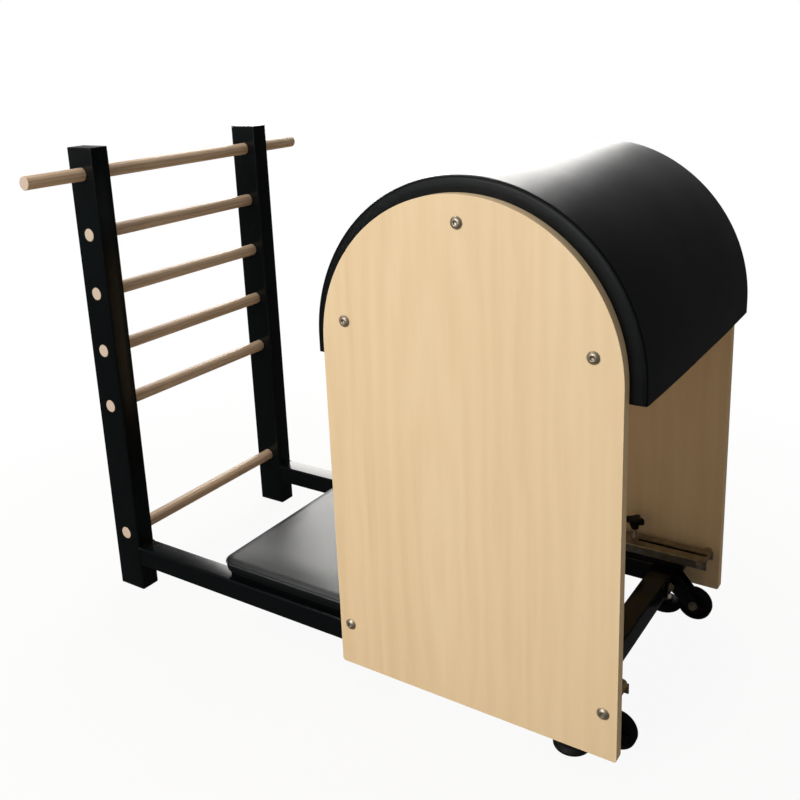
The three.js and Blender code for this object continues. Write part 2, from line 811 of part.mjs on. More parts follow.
// Clamping knobs: a lobed plastic knob moulded on a steel stud that screws into the rail.
function starKnob() {
  const star = [];
  const steps = lobeSteps * knobLobes;
  for (let i = 0; i < steps; i += 1) {
    const angle = (i * 4 * quarter) / steps;
    const radius = knobStarRadius + knobLobe * Math.cos(knobLobes * angle);
    star.push(new THREE.Vector2(radius * Math.cos(angle), radius * Math.sin(angle)));
  }
  const head = prism(star, knobStarHeight, { bevel: knobBevel });
  head.translate(0, 0, knobHubHeight + knobStarHeight / 2);
  const hubLength = knobHubHeight + knobStarHeight / 2;
  const hub = uprightRod(knobHubRadius, hubLength).translate(0, 0, hubLength / 2);
  const hole = uprightRod(studRadius + seat, studInKnob + seat + overrun, smallSides);
  hole.translate(0, 0, (studInKnob + seat - overrun) / 2);
  return cut(join(head, hub), hole);
}

function clampWasher() {
  const bore = studRadius + seat;
  return turnedUp([
    [bore, 0],
    [clampWasherRadius, 0],
    [clampWasherRadius, clampWasherThickness],
    [bore, clampWasherThickness],
    [bore, 0],
  ]);
}

// Assembly of the fixed frame
const rail = sideRail();
const plugReach = plugThickness / 2;
sides.forEach(({ name, frame: group }) => {
  place(group, `upright_${name}`, uprightTube(), blackSteel, uprightX, railY, uprightHeight / 2);
  place(group, `upright_cap_${name}`, tubePlug(uprightDepth, tubeWidth), blackPlastic,
    uprightX, railY, uprightHeight - plugReach);
  const footPlug = place(group, `upright_foot_${name}`, tubePlug(uprightDepth, tubeWidth), rubber,
    uprightX, railY, plugReach);
  footPlug.rotation.x = Math.PI;
  place(group, `side_rail_${name}`, rail.geometry, blackSteel, rail.middle, railY, railZ);
  const endPlug = place(group, `rail_end_cap_${name}`, tubePlug(railHeight, tubeWidth), blackPlastic,
    rearX - plugReach, railY, railZ);
  endPlug.rotation.y = Math.PI / 2;
  place(group, `levelling_foot_${name}`, rubberFoot(), rubber, footX, railY, 0);
  place(group, `levelling_stem_${name}`, footStem(), satinSteel, footX, railY, footHeight + seat);
  place(group, `wheel_fork_${name}`, wheelFork(), blackSteel, wheelX, wheelY, wheelZ);
  place(group, `transport_wheel_${name}`, wheel(), rubber, wheelX, wheelY, wheelZ);
  const axle = place(group, `wheel_axle_${name}`, hexBolt(forkOutside + 2 * seat, 2 * hexHeight, true), chrome,
    wheelX, wheelY - forkOutside / 2 - seat, wheelZ);
  axle.rotation.z = Math.PI;
  const forkBolt = place(group, `wheel_fork_bolt_${name}`, hexBolt(forkThickness + tubeWall, hexHeight, false),
    chrome, forkFaceX + forkThickness + seat, forkBoltY, forkBoltZ);
  forkBolt.rotation.z = -Math.PI / 2;
  place(group, `clamp_washer_${name}`, clampWasher(), chrome, knobX, railY, slideTop + seat);
  const studLength = knobBottom + studInKnob - studBottom;
  place(group, `clamp_stud_${name}`, uprightRod(studRadius, studLength, smallSides), satinSteel,
    knobX, railY, studBottom + studLength / 2);
  place(group, `clamp_knob_${name}`, starKnob(), blackPlastic, knobX, railY, knobBottom);
});

place(frame, 'cross_member', crossMember(), blackSteel, rearX - crossDepth / 2, 0, railZ);

rungHeights.forEach((height, i) => {
  const length = i === 0 ? topRungLength : frameWidth;
  const name = i === 0 ? 'rung_1_top' : `rung_${i + 1}`;
  place(frame, name, rung(length), beech, uprightX, 0, height);
});

place(frame, 'platform_board', platformBoard(), blackBoard, platformX, 0, boardTop - boardThickness / 2);
place(frame, 'platform_cushion', platformCushion(), leatherette, platformX, 0, boardTop + seat);

// Assembly of the sliding barrel
const boltPieces = {
  top: () => buttonBolt(panelThickness + boltGrip),
  front: () => buttonBolt(panelThickness + boltGrip),
  rear: () => buttonBolt(panelThickness + boltGrip),
  lower_front: () => buttonBolt(panelThickness + runnerWeb - boltBottom),
  lower_rear: () => throughBolt(panelOuterY + 2 * seat - slideInnerSide, panelInnerY - slideOuterSide - 2 * seat),
};

sides.forEach(({ name, barrel: group }) => {
  place(group, `side_panel_${name}`, sidePanel(), maple,
    barrelX, panelInnerY + panelThickness / 2, barrelAxisHeight);
  Object.entries(panelBolts).forEach(([bolt, [x, z]]) => {
    place(group, `panel_bolt_${bolt}_${name}`, boltPieces[bolt](), chrome,
      barrelX + x, panelOuterY + seat, barrelAxisHeight + z);
  });
  place(group, `slide_channel_${name}`, slideChannel(), satinSteel, slideX, railY, slideTop);
  place(group, `slide_bar_${name}`, slideBar(), blackPlastic,
    barX, railY, (barBottom + slideUnder - seat) / 2);
  place(group, `front_runner_${name}`, frontRunner(), blackPlastic, runnerX, runnerInnerSide, barBottom);
});

place(barrel, 'barrel_shell', barrelShell(), plywood, barrelX, 0, barrelAxisHeight);
place(barrel, 'barrel_pad', barrelPad(), leatherette, barrelX, 0, barrelAxisHeight);

['top', 'front', 'rear'].forEach((bolt) => {
  const [x, z] = panelBolts[bolt];
  const piece = place(barrel, `batten_${bolt}`, batten(), plywood, barrelX + x, 0, barrelAxisHeight + z);
  piece.rotation.y = -Math.atan2(z, x);
});

export default object;
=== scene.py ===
# A pilates ladder barrel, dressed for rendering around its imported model.
# Metres. X runs from the ladder to the barrel, Y across, Z up from the floor.
import math

import bmesh
import bpy
from mathutils import Matrix, Vector, noise


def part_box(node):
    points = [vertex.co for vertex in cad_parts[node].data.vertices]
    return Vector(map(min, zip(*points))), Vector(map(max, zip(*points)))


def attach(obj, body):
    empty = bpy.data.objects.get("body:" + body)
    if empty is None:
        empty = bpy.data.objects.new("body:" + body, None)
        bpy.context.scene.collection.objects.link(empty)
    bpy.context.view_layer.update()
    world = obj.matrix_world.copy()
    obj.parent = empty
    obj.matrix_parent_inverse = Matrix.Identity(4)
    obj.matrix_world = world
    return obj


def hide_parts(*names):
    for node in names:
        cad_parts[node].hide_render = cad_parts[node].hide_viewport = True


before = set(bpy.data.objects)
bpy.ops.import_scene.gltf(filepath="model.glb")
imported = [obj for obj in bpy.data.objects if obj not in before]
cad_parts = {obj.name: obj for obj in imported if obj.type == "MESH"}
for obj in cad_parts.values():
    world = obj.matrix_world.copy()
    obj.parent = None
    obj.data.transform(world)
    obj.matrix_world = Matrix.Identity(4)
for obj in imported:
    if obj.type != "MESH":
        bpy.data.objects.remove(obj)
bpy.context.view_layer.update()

# Camera
# It stands at the left rear of the barrel, a little above its middle, and looks down at the
# ladder, as a pinhole camera fitted to the photograph does.
azimuth, elevation, roll = (math.radians(angle) for angle in (33.73, 15.03, -2.34))
toward = Vector((math.sin(azimuth) * math.cos(elevation), -math.cos(azimuth) * math.cos(elevation),
                 math.sin(elevation)))
level = Vector((math.cos(azimuth), math.sin(azimuth), 0))
above = toward.cross(level)
camera = bpy.data.objects.new("camera", bpy.data.cameras.new("camera"))
camera.matrix_world = Matrix.Translation((1.058, -1.572, 1.186)) @ Matrix((
    math.cos(roll) * level + math.sin(roll) * above,
    math.cos(roll) * above - math.sin(roll) * level,
    toward,
)).transposed().to_4x4()
camera.data.lens = 43.19
camera.data.shift_y = -0.119
bpy.context.scene.collection.objects.link(camera)
bpy.context.scene.camera = camera
bpy.context.scene.view_settings.view_transform = "Standard"


# Floor, backdrop and light
# A pale studio floor that runs out into a white backdrop. A large soft light stands in front of
# the near panel, and a bright window lies behind the object on its left.
def node(material, kind, inputs=(), **settings):
    """Adds a shader node; an input is a value or another node's output."""
    added = material.node_tree.nodes.new("ShaderNode" + kind)
    for key, value in settings.items():
        setattr(added, key, value)
    for key, value in dict(inputs).items():
        if isinstance(value, bpy.types.NodeSocket):
            material.node_tree.links.new(value, added.inputs[key])
        else:
            added.inputs[key].default_value = value
    return added


def math_node(material, operation, *values):
    return node(material, "Math", dict(enumerate(values)), operation=operation).outputs[0]


def spread(material, value, low, high, to_low=0.0, to_high=1.0):
    """A value taken from one range to another, and held at its ends."""
    return node(material, "MapRange", {0: value, 1: low, 2: high, 3: to_low, 4: to_high}).outputs[0]


def ray_kinds(material):
    """Whether a ray comes from the camera, and whether it comes by a mirror or through glass."""
    rays = node(material, "LightPath").outputs
    return rays["Is Camera Ray"], math_node(material, "MAXIMUM", rays["Is Glossy Ray"], rays["Is Transmission Ray"])


# Near the object the camera sees a little of the painted floor, which holds the shadow; further
# out it sees plain white. Mirrors see a dim floor.
floor_look = bpy.data.materials.new("studio_floor")
floor_look.use_nodes = True
floor_look.node_tree.nodes.clear()
place = node(floor_look, "TexCoord").outputs["Object"]
distance = node(floor_look, "VectorMath", {0: place}, operation="LENGTH").outputs["Value"]
camera_ray, mirror = ray_kinds(floor_look)
glow = math_node(floor_look, "MULTIPLY", camera_ray, spread(floor_look, distance, 0.6, 1.7, 0.93, 1.0))
glow = math_node(floor_look, "MAXIMUM", glow, mirror)
painted = node(floor_look, "BsdfDiffuse", {"Color": (0.52, 0.46, 0.38, 1)}).outputs[0]
glow_strength = spread(floor_look, mirror, 0.0, 1.0, 1.0, 0.045)
shining = node(floor_look, "Emission", {"Color": (1, 1, 1, 1), "Strength": glow_strength}).outputs[0]
both = node(floor_look, "MixShader", {0: glow, 1: painted, 2: shining}).outputs[0]
node(floor_look, "OutputMaterial", {0: both})
reach = 8
floor_mesh = bpy.data.meshes.new("studio_floor")
floor_mesh.from_pydata([(-reach, -reach, 0), (reach, -reach, 0), (reach, reach, 0), (-reach, reach, 0)], [],
                       [(0, 1, 2, 3)])
floor_mesh.materials.append(floor_look)
floor = bpy.data.objects.new("studio_floor", floor_mesh)
bpy.context.scene.collection.objects.link(floor)

world = bpy.data.worlds.new("studio")
world.use_nodes = True
world.node_tree.nodes.clear()
# In reflections the backdrop is bright low down behind the object's left, round the window, a
# little bright in front of the near panel, and dim elsewhere.
direction = node(world, "TexCoord").outputs["Generated"]
height = node(world, "SeparateXYZ", {0: direction}).outputs["Z"]


def facing_way(way):
    """How much the seen direction points a level way."""
    return node(world, "VectorMath", {0: direction, 1: way}, operation="DOT_PRODUCT").outputs["Value"]


window_side = spread(world, facing_way((-0.5, 0.866, 0)), 0.82, 0.98)
low_band = math_node(world, "MULTIPLY", window_side, spread(world, height, 0.48, 0.64, 1.0, 0.0))
front = spread(world, facing_way((-0.3, -0.95, 0)), 0.2, 0.7, 0.05, 0.22)
reflected = math_node(world, "ADD", math_node(world, "MULTIPLY", low_band, 0.95), front)
camera_ray, mirror = ray_kinds(world)
dim = math_node(world, "MULTIPLY", math_node(world, "SUBTRACT", 1.0, mirror), 0.235)
strength = math_node(world, "ADD", dim, math_node(world, "MULTIPLY", mirror, reflected))
strength = math_node(world, "MAXIMUM", strength, camera_ray)
sky = node(world, "Background", {"Color": (1, 1, 1, 1), "Strength": strength}).outputs[0]
node(world, "OutputWorld", {0: sky})
bpy.context.scene.world = world


def soft_light(name, at, target, width, height, power, color=(1, 1, 1)):
    """A rectangular studio light that the camera doesn't see."""
    lamp = bpy.data.lights.new(name, "AREA")
    lamp.shape = "RECTANGLE"
    lamp.size = width
    lamp.size_y = height
    lamp.energy = power
    lamp.color = color
    holder = bpy.data.objects.new(name, lamp)
    holder.location = at
    holder.rotation_euler = (Vector(target) - Vector(at)).to_track_quat("-Z", "Y").to_euler()
    holder.visible_camera = False
    bpy.context.scene.collection.objects.link(holder)


soft_light("key_light", (-0.7, -4.2, 2.1), (0.2, 0, 0.3), 2.6, 2.4, 148)
soft_light("window_light", (-1.594, 2.623, 1.7), (-0.47, 0.16, 1.1), 2.36, 2.0, 104, (1, 0.985, 0.955))
soft_light("top_light", (-1.2, -0.2, 3.0), (0, 0, 0.3), 1.3, 1.0, 34)


# Ladder uprights, side rails and rear cross member
# Rectangular steel tubes with rounded corners, welded together, and powder coated in glossy
# black. The uprights are drilled through for the rungs, the rails for feet and clamping studs.
def screen(r, g, b):
    """A colour as a screen shows it, 0 to 255, as the linear numbers that a shader takes."""
    return tuple(((c / 255 + 0.055) / 1.055) ** 2.4 if c > 10 else c / 255 / 12.92 for c in (r, g, b)) + (1.0,)


def look(name, **values):
    """A material with a Principled shader whose even values are set on its sockets."""
    material = bpy.data.materials.new(name)
    material.use_nodes = True
    shader = material.node_tree.nodes["Principled BSDF"]
    for key, value in values.items():
        shader.inputs[key.replace("_", " ")].default_value = value
    return material, shader


def stretched(material, x, y, z):
    """The piece's own coordinates, scaled along each axis."""
    own = node(material, "TexCoord").outputs["Object"]
    return node(material, "Mapping", {"Vector": own, "Scale": (x, y, z)}).outputs[0]


def cloud(material, vector, scale, detail=4.0, roughness=0.5, distortion=0.0):
    inputs = {"Vector": vector, "Scale": scale, "Detail": detail, "Roughness": roughness, "Distortion": distortion}
    return node(material, "TexNoise", inputs).outputs[0]


def ramp(material, value, *stops):
    """A colour that follows a value through stops of position and colour."""
    colours = node(material, "ValToRGB", {0: value})
    elements = colours.color_ramp.elements
    while len(elements) < len(stops):
        elements.new(0.5)
    for element, (position, colour) in zip(elements, stops):
        element.position = position
        element.color = colour
    return colours.outputs[0]


def paint(material, shader, colour):
    material.node_tree.links.new(colour, shader.inputs["Base Color"])


def wear(material, shader, value, smooth, rough):
    """A roughness that wanders with a cloud between two levels."""
    material.node_tree.links.new(spread(material, value, 0.3, 0.7, smooth, rough), shader.inputs["Roughness"])


def relief(material, shader, height, depth, strength):
    """Bumps of a height in metres on the surface."""
    bump = node(material, "Bump", {"Height": height, "Distance": depth, "Strength": strength}).outputs[0]
    material.node_tree.links.new(bump, shader.inputs["Normal"])


def rounded(width, height, radius, steps=8):
    """Points of a rectangle with round corners, anticlockwise."""
    points = []
    for quarter, (across, up) in enumerate(((1, 1), (-1, 1), (-1, -1), (1, -1))):
        for i in range(steps + 1):
            angle = (quarter + i / steps) * math.pi / 2
            points.append((across * (width / 2 - radius) + radius * math.cos(angle),
                           up * (height / 2 - radius) + radius * math.sin(angle)))
    return points


def skin(rings, closed=False):
    """Vertices and faces over rings of points, capped, or with the last ring joined to the first."""
    count = len(rings[0])
    total = len(rings)
    faces = []
    for i in range(total if closed else total - 1):
        low, high = i * count, (i + 1) % total * count
        for j in range(count):
            k = (j + 1) % count
            faces.append((low + j, low + k, high + k, high + j))
    if not closed:
        faces.append(tuple(range(count))[::-1])
        faces.append(tuple(range((total - 1) * count, total * count)))
    return [point for ring in rings for point in ring], faces


def level_rings(levels):
    """Rings of points from pairs of an outline and its height."""
    return [[(x, y, height) for x, y in outline] for outline, height in levels]


def turned(profile, sides=56, outline=None):
    """A solid turned about Z from pairs of radius and height; outline may reshape each ring."""
    rings = []
    closed = profile[0] == profile[-1]
    for radius, height in profile[:-1] if closed else profile:
        ring = []
        for i in range(sides):
            angle = 2 * math.pi * i / sides
            reach = max(radius, 0.00015) if outline is None else outline(angle, radius, height)
            ring.append((reach * math.cos(angle), reach * math.sin(angle), height))
        rings.append(ring)
    return skin(rings, closed)


def placed(shape, matrix):
    """A shape moved by a matrix, with its faces turned over where the matrix mirrors it."""
    points, faces = shape
    points = [tuple(matrix @ Vector(point)) for point in points]
    if matrix.determinant() < 0:
        faces = [tuple(reversed(face)) for face in faces]
    return points, faces


def facing(axis, x, y, z):
    """A matrix that turns a shape's own Z to an axis and then moves it to a place."""
    out = Vector({"X": (1, 0, 0), "Y": (0, 1, 0), "Z": (0, 0, 1)}[axis[-1]]) * (-1 if axis[0] == "-" else 1)
    first = Vector((0, 1, 0)) if axis[-1] == "X" else Vector((1, 0, 0))
    turn = Matrix((first, out.cross(first), out)).transposed().to_4x4()
    return Matrix.Translation((x, y, z)) @ turn


def sided(shape, way):
    """A shape of the right side as it is, or mirrored to the left side."""
    return placed(shape, Matrix.Diagonal((1, -1, 1, 1))) if way < 0 else shape


def together(*shapes):
    """Several shapes as one."""
    points, faces = [], []
    for more, their_faces in shapes:
        faces += [tuple(corner + len(points) for corner in face) for face in their_faces]
        points += more
    return points, faces


def drill(radius, reach, at, sides=32):
    """A round bar that cuts a hole, set to both sides of a place."""
    return placed(turned([(radius, -reach), (radius, reach)], sides), at)


def round_edges(made, width, segments, smooth):
    rounding = made.modifiers.new("edges", "BEVEL")
    rounding.width = width
    rounding.segments = segments
    rounding.limit_method = "ANGLE"
    rounding.angle_limit = math.radians(smooth)
    rounding.harden_normals = True


def piece(name, shape, cuts=(), edge=0.0, segments=2, smooth=35):
    """A mesh object of a shape, less the shapes cut out of it, with rounded edges."""
    mesh = bpy.data.meshes.new(name)
    mesh.from_pydata([tuple(point) for point in shape[0]], [], shape[1])
    mesh.shade_smooth()
    made = bpy.data.objects.new(name, mesh)
    bpy.context.scene.collection.objects.link(made)
    tool = None
    if cuts:
        tool = piece(name + "_cut", together(*cuts))
        trim = made.modifiers.new("cut", "BOOLEAN")
        trim.solver = "EXACT"
        trim.operation = "DIFFERENCE"
        trim.object = tool
    if edge:
        round_edges(made, edge, segments, smooth)
    if made.modifiers:
        applied(made)
    if tool:
        bpy.data.objects.remove(tool)
    if not edge:
        made.data.set_sharp_from_angle(angle=math.radians(smooth))
    return made


def applied(made):
    """Puts an object's modifiers into its mesh."""
    evaluated = made.evaluated_get(bpy.context.evaluated_depsgraph_get())
    mesh = bpy.data.meshes.new_from_object(evaluated)
    made.modifiers.clear()
    made.data = mesh
    return made


def dress(made, body, slot, material, *nodes):
    """Gives a piece its material, its body and the CAD nodes that it stands for."""
    made.data.materials.clear()
    made.data.materials.append(material)
    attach(made, body)
    if nodes:
        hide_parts(*nodes)


def centre(name):
    low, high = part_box(name)
    return (low + high) / 2


powder, powder_shader = look("black_powder_coat", Specular_IOR_Level=0.3)
own = stretched(powder, 1, 1, 1)
paint(powder, powder_shader,
      ramp(powder, cloud(powder, own, 5.0, 5), (0.3, screen(7, 10, 11)), (0.72, screen(11, 15, 16))))
wear(powder, powder_shader, cloud(powder, own, 22.0, 6), 0.16, 0.20)
relief(powder, powder_shader, cloud(powder, own, 620.0, 3), 0.00008, 0.12)

wall = 0.002
corner = 0.004
sides = (("right", 1), ("left", -1))
rung_names = ["rung_1_top"] + [f"rung_{i}" for i in range(2, 7)]


def tube(width, height, low, high):
    """A box tube along Z, open at both ends."""
    outer = rounded(width, height, corner)
    inner = rounded(width - 2 * wall, height - 2 * wall, corner - wall)
    return skin(level_rings([(outer, low), (outer, high), (inner, high), (inner, low)]), closed=True)


low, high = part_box("upright_right")
spot = centre("upright_right")
upright = placed(tube(high.x - low.x, high.y - low.y, low.z, high.z), facing("Z", spot.x, spot.y, 0))
rung_holes = [drill(0.0142, 0.04, facing("Y", centre(name).x, spot.y, centre(name).z), 64) for name in rung_names]
rail_low, rail_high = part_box("side_rail_right")
_, rail_y, rail_z = centre("side_rail_right")
rail_width, rail_height = rail_high.y - rail_low.y, rail_high.z - rail_low.z
rail = placed(tube(rail_width, rail_height, rail_low.x, rail_high.x), facing("X", 0, rail_y, rail_z))
foot_x = centre("levelling_foot_right").x
knob_x = centre("clamp_knob_right").x
rail_holes = [drill(0.0053, 0.01, facing("Z", foot_x, rail_y, rail_low.z)),
              drill(0.0043, 0.01, facing("Z", knob_x, rail_y, rail_high.z))]
for side, way in sides:
    for name, shape, holes in (("upright", upright, rung_holes), ("side_rail", rail, rail_holes)):
        dress(piece(f"{name}_tube_{side}", sided(shape, way), [sided(hole, way) for hole in holes], edge=0.0005),
              "frame", "frame_black", powder, f"{name}_{side}")

low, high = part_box("cross_member")
spot = centre("cross_member")
_, bolt_y, bolt_z = centre("wheel_fork_bolt_right")
cross = placed(tube(high.x - low.x, high.z - low.z, low.y, high.y), facing("Y", spot.x, 0, spot.z))
bolt_holes = [drill(0.0044, 0.01, facing("X", high.x, way * bolt_y, bolt_z)) for _, way in sides]
dress(piece("cross_member_tube", cross, bolt_holes, edge=0.0005), "frame", "frame_black", powder, "cross_member")


# Weld beads
# Short rippled fillets where the rails meet the uprights and the cross member. Those on top of
# the rails at the rear are ground flush, because the barrel's slides pass over them.
def angles(turn, steps, first=0):
    """Equal steps of angle from nothing, or from a later step, up to a turn."""
    return [turn / steps * i for i in range(first, steps + 1)]


def hoop(middle, radius, across, up, count):
    """A ring of points round a middle, in the plane of two directions."""
    return [middle + radius * (math.cos(a) * across + math.sin(a) * up) for a in angles(2 * math.pi, count)[:-1]]


def bead(path, plane, radius):
    """A rippled round bead along a path that lies in a plane with this normal."""
    rings = []
    for i, point in enumerate(path):
        ahead = Vector(path[min(i + 1, len(path) - 1)]) - Vector(path[max(i - 1, 0)])
        swell = 0.3 if i in (0, len(path) - 1) else 1 + 0.14 * math.sin(i * 1.7)
        rings.append(hoop(Vector(point), radius * swell, plane, ahead.normalized().cross(plane), 8))
    return skin(rings)


def traced(points, step=0.0008):
    """A polyline filled in with points a step apart."""
    path = [points[0]]
    for start, end in zip(points, points[1:]):
        count = max(1, round(math.dist(start, end) / step))
        for i in range(1, count + 1):
            path.append(tuple(a + (b - a) * i / count for a, b in zip(start, end)))
    return path


low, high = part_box("cross_member")
front_loop = rounded(rail_width, rail_height, corner, 6)
front_loop = traced(front_loop + front_loop[:1])
rail_bead = bead([(rail_low.x + 0.0006, rail_y + y, rail_z + z) for y, z in front_loop], Vector((1, 0, 0)), 0.0016)
bead_top, bottom = rail_z + 0.019, rail_z - 0.0225
under = [(low.x, bead_top), (low.x, bottom + corner), (low.x + corner, bottom),
         (high.x - corner, bottom), (high.x, bottom + corner), (high.x, bead_top)]
cross_bead = bead([(x, high.y + 0.0001, z) for x, z in traced(under)], Vector((0, 1, 0)), 0.0013)
for side, way in sides:
    beads = sided(together(rail_bead, cross_bead), way)
    dress(piece(f"weld_beads_{side}", beads, smooth=60), "frame", "frame_black", powder)


# Plugs of the tube ends
# Moulded plastic covers pushed into the tubes: satin black caps on the uprights and rails, and
# soft rubber ones under the uprights, on which the ladder stands.
def moulded(name, dark, light, roughness, grain, depth):
    """Moulded plastic or rubber with a fine grain."""
    material, shader = look(name, Specular_IOR_Level=0.2)
    own = stretched(material, 1, 1, 1)
    paint(material, shader, ramp(material, cloud(material, own, 40.0, 5), (0.3, dark), (0.7, light)))
    wear(material, shader, cloud(material, own, 90.0, 4), roughness - 0.06, roughness + 0.06)
    relief(material, shader, cloud(material, own, grain, 2), depth, 0.6)
    return material


plastic = moulded("black_plastic", screen(11, 11, 12), screen(18, 18, 19), 0.42, 1400.0, 0.00006)
rubber = moulded("black_rubber", screen(10, 10, 10), screen(18, 18, 17), 0.62, 900.0, 0.0001)
half_cover = 0.002


def plug(width, height):
    """A cover with a soft rim and the open spigot under it, pointing down from the cover."""
    soft = 0.0012
    rim = [(0.0, -half_cover), (0.0, half_cover - soft)]
    rim += [(soft * (1 - math.cos(a)), half_cover - soft + soft * math.sin(a)) for a in angles(math.pi / 2, 4, 1)]
    cover = skin(level_rings([(rounded(width - 2 * inset, height - 2 * inset, corner - inset), z)
                              for inset, z in rim]))
    outer = rounded(width - 0.0048, height - 0.0048, 0.0018)
    inner = rounded(width - 0.0098, height - 0.0098, 0.0008)
    spigot = skin(level_rings([(outer, -0.012), (outer, -0.0015), (inner, -0.0015), (inner, -0.012)]), closed=True)
    return together(cover, spigot)


for side, _ in sides:
    for name, axis, kind, material in (("upright_cap", "Z", "cap_black", plastic),
                                       ("upright_foot", "-Z", "rubber_black", rubber),
                                       ("rail_end_cap", "X", "cap_black", plastic)):
        low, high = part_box(f"{name}_{side}")
        spot = centre(f"{name}_{side}")
        if axis == "X":
            size, at = (high.y - low.y, high.z - low.z), (high.x - half_cover, spot.y, spot.z)
        else:
            cover_z = high.z - half_cover if axis == "Z" else low.z + half_cover
            size, at = (high.x - low.x, high.y - low.y), (spot.x, spot.y, cover_z)
        dress(piece(f"{name}_plug_{side}", placed(plug(*size), facing(axis, *at))), "frame", kind, material,
              f"{name}_{side}")


# Rungs
# Turned beech rods, lacquered, with a small chamfer. The top one runs on through the uprights
# as two handles; the others end flush, and show the pale end grain.
def weighed(material, *parts):
    """The sum of some values, each times its weight."""
    shares = [math_node(material, "MULTIPLY", value, weight) for value, weight in parts]
    total = shares[0]
    for share in shares[1:]:
        total = math_node(material, "ADD", total, share)
    return total


def blended(material, share, first, second):
    """Two colours mixed by a share."""
    return node(material, "Mix", {0: share, 6: first, 7: second}, data_type="RGBA").outputs[2]


beech, beech_shader = look("beech_lacquered", Specular_IOR_Level=0.4, Coat_Weight=0.12, Coat_Roughness=0.25)
grain = stretched(beech, 1, 0.07, 1)
growth = node(beech, "TexWave", {"Vector": grain, "Scale": 46.0, "Distortion": 5.0, "Detail": 3.0, "Detail Scale": 1.2,
                                 "Detail Roughness": 0.55}, wave_type="RINGS", rings_direction="Y").outputs["Fac"]
streaks = cloud(beech, grain, 95.0, 7, 0.6, 0.4)
tone = weighed(beech, (growth, 0.3), (streaks, 0.4), (cloud(beech, grain, 11.0, 3), 0.3))
colour = ramp(beech, tone, (0.28, screen(188, 157, 126)), (0.5, screen(202, 172, 141)), (0.74, screen(213, 186, 156)))
flecks = spread(beech, cloud(beech, grain, 620.0, 2, 0.4), 0.62, 0.72, 0.0, 0.3)
colour = blended(beech, flecks, colour, screen(166, 132, 102))
wear(beech, beech_shader, streaks, 0.38, 0.50)
relief(beech, beech_shader, streaks, 0.00015, 0.4)
# The end grain is paler, with fine arcs of growth rings.
facing_out = node(beech, "SeparateXYZ", {0: node(beech, "NewGeometry").outputs["Normal"]}).outputs["Y"]
end_share = spread(beech, math_node(beech, "ABSOLUTE", facing_out), 0.8, 0.95)
arcs = node(beech, "TexWave", {"Vector": stretched(beech, 1, 1, 1), "Scale": 140.0, "Distortion": 3.0, "Detail": 3.0},
            wave_type="RINGS", rings_direction="Y").outputs["Fac"]
end_colour = ramp(beech, arcs, (0.0, screen(196, 174, 154)), (1.0, screen(212, 192, 174)))
paint(beech, beech_shader, blended(beech, end_share, colour, end_colour))

chamfer = [(0.0030, 0.0), (0.0012, 0.0), (0.0006, 0.0003), (0.0001, 0.0009), (0.0, 0.0016)]
for name in rung_names:
    low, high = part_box(name)
    radius, half = (high.z - low.z) / 2, (high.y - low.y) / 2
    profile = [(radius - inset, back - half) for inset, back in chamfer]
    profile += [(radius, -half / 2), (radius, 0.0), (radius, half / 2)]
    profile += [(radius - inset, half - back) for inset, back in reversed(chamfer)]
    dress(piece(f"beech_{name}", placed(turned(profile, 64), facing("Y", *centre(name)))), "frame", "beech", beech,
          name)


# Foot platform board
# Birch plywood across the rails, stained black, with rounded corners. It is narrower than the
# cushion, so that the barrel's front runners can pass beside it.
def veneers(material, shader, depth, streaks, shares, stops, smooth, rough):
    """Plywood: layers that show as lines where it is cut, and streaks along the grain."""
    layers = spread(material, math_node(material, "PINGPONG", depth, 0.0015), 0.0, 0.0015)
    tone = weighed(material, (layers, shares[0]), (streaks, shares[1]))
    paint(material, shader, ramp(material, tone, *stops))
    wear(material, shader, streaks, smooth, rough)
    relief(material, shader, streaks, 0.0002, 0.5)


def flat_plywood(name, gloss, shares, stops, smooth, rough):
    """Plywood that lies level, with its grain across the object."""
    material, shader = look(name, Specular_IOR_Level=gloss)
    height = node(material, "SeparateXYZ", {0: stretched(material, 1, 1, 1)}).outputs["Z"]
    streaks = cloud(material, stretched(material, 1, 0.08, 1), 180.0, 6)
    veneers(material, shader, height, streaks, shares, stops, smooth, rough)
    return material


stained = flat_plywood("black_stained_plywood", 0.25, (0.4, 0.6),
                       ((0.25, screen(12, 11, 10)), (0.75, screen(24, 22, 20))), 0.55, 0.7)
low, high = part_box("platform_board")
spot = centre("platform_board")
outline = rounded(high.x - low.x, high.y - low.y, 0.020, 16)
board = placed(skin(level_rings([(outline, low.z), (outline, high.z)])), facing("Z", spot.x, spot.y, 0))
dress(piece("platform_plywood", board, edge=0.0008), "frame", "board_black", stained, "platform_board")


# Foot platform cushion
# Foam under black leatherette with a low crown, a top panel sewn to a side band: the sides pull
# in below a corded seam, and the underside lies flat on the board. The barrel pad has the same
# leatherette, matt on its end bands.
leatherette, leather_shader = look("black_leatherette")
own = stretched(leatherette, 1, 1, 1)
aside = math_node(leatherette, "ABSOLUTE", node(leatherette, "SeparateXYZ", {0: own}).outputs["Y"])
pad_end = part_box("barrel_pad")[1].y
gloss = spread(leatherette, aside, pad_end - 0.004, pad_end - 0.001, 0.5, 0.17)
leatherette.node_tree.links.new(gloss, leather_shader.inputs["Specular IOR Level"])
cells = node(leatherette, "TexVoronoi", {"Vector": own, "Scale": 900.0, "Randomness": 1.0},
             feature="DISTANCE_TO_EDGE").outputs["Distance"]
creases_and_painted_shade = spread(leatherette, cells, 0.0, 0.12)
# The base colour is painted darker along the grain's creases, as painted shade in those hollows; the slow cloud is the
# leatherette's own uneven tone.
tone = weighed(leatherette, (cloud(leatherette, own, 9.0, 4), 0.7), (creases_and_painted_shade, 0.3))
paint(leatherette, leather_shader, ramp(leatherette, tone, (0.3, screen(5, 8, 9)), (0.75, screen(10, 13, 14))))
wear(leatherette, leather_shader, cloud(leatherette, own, 30.0, 5), 0.328, 0.355)
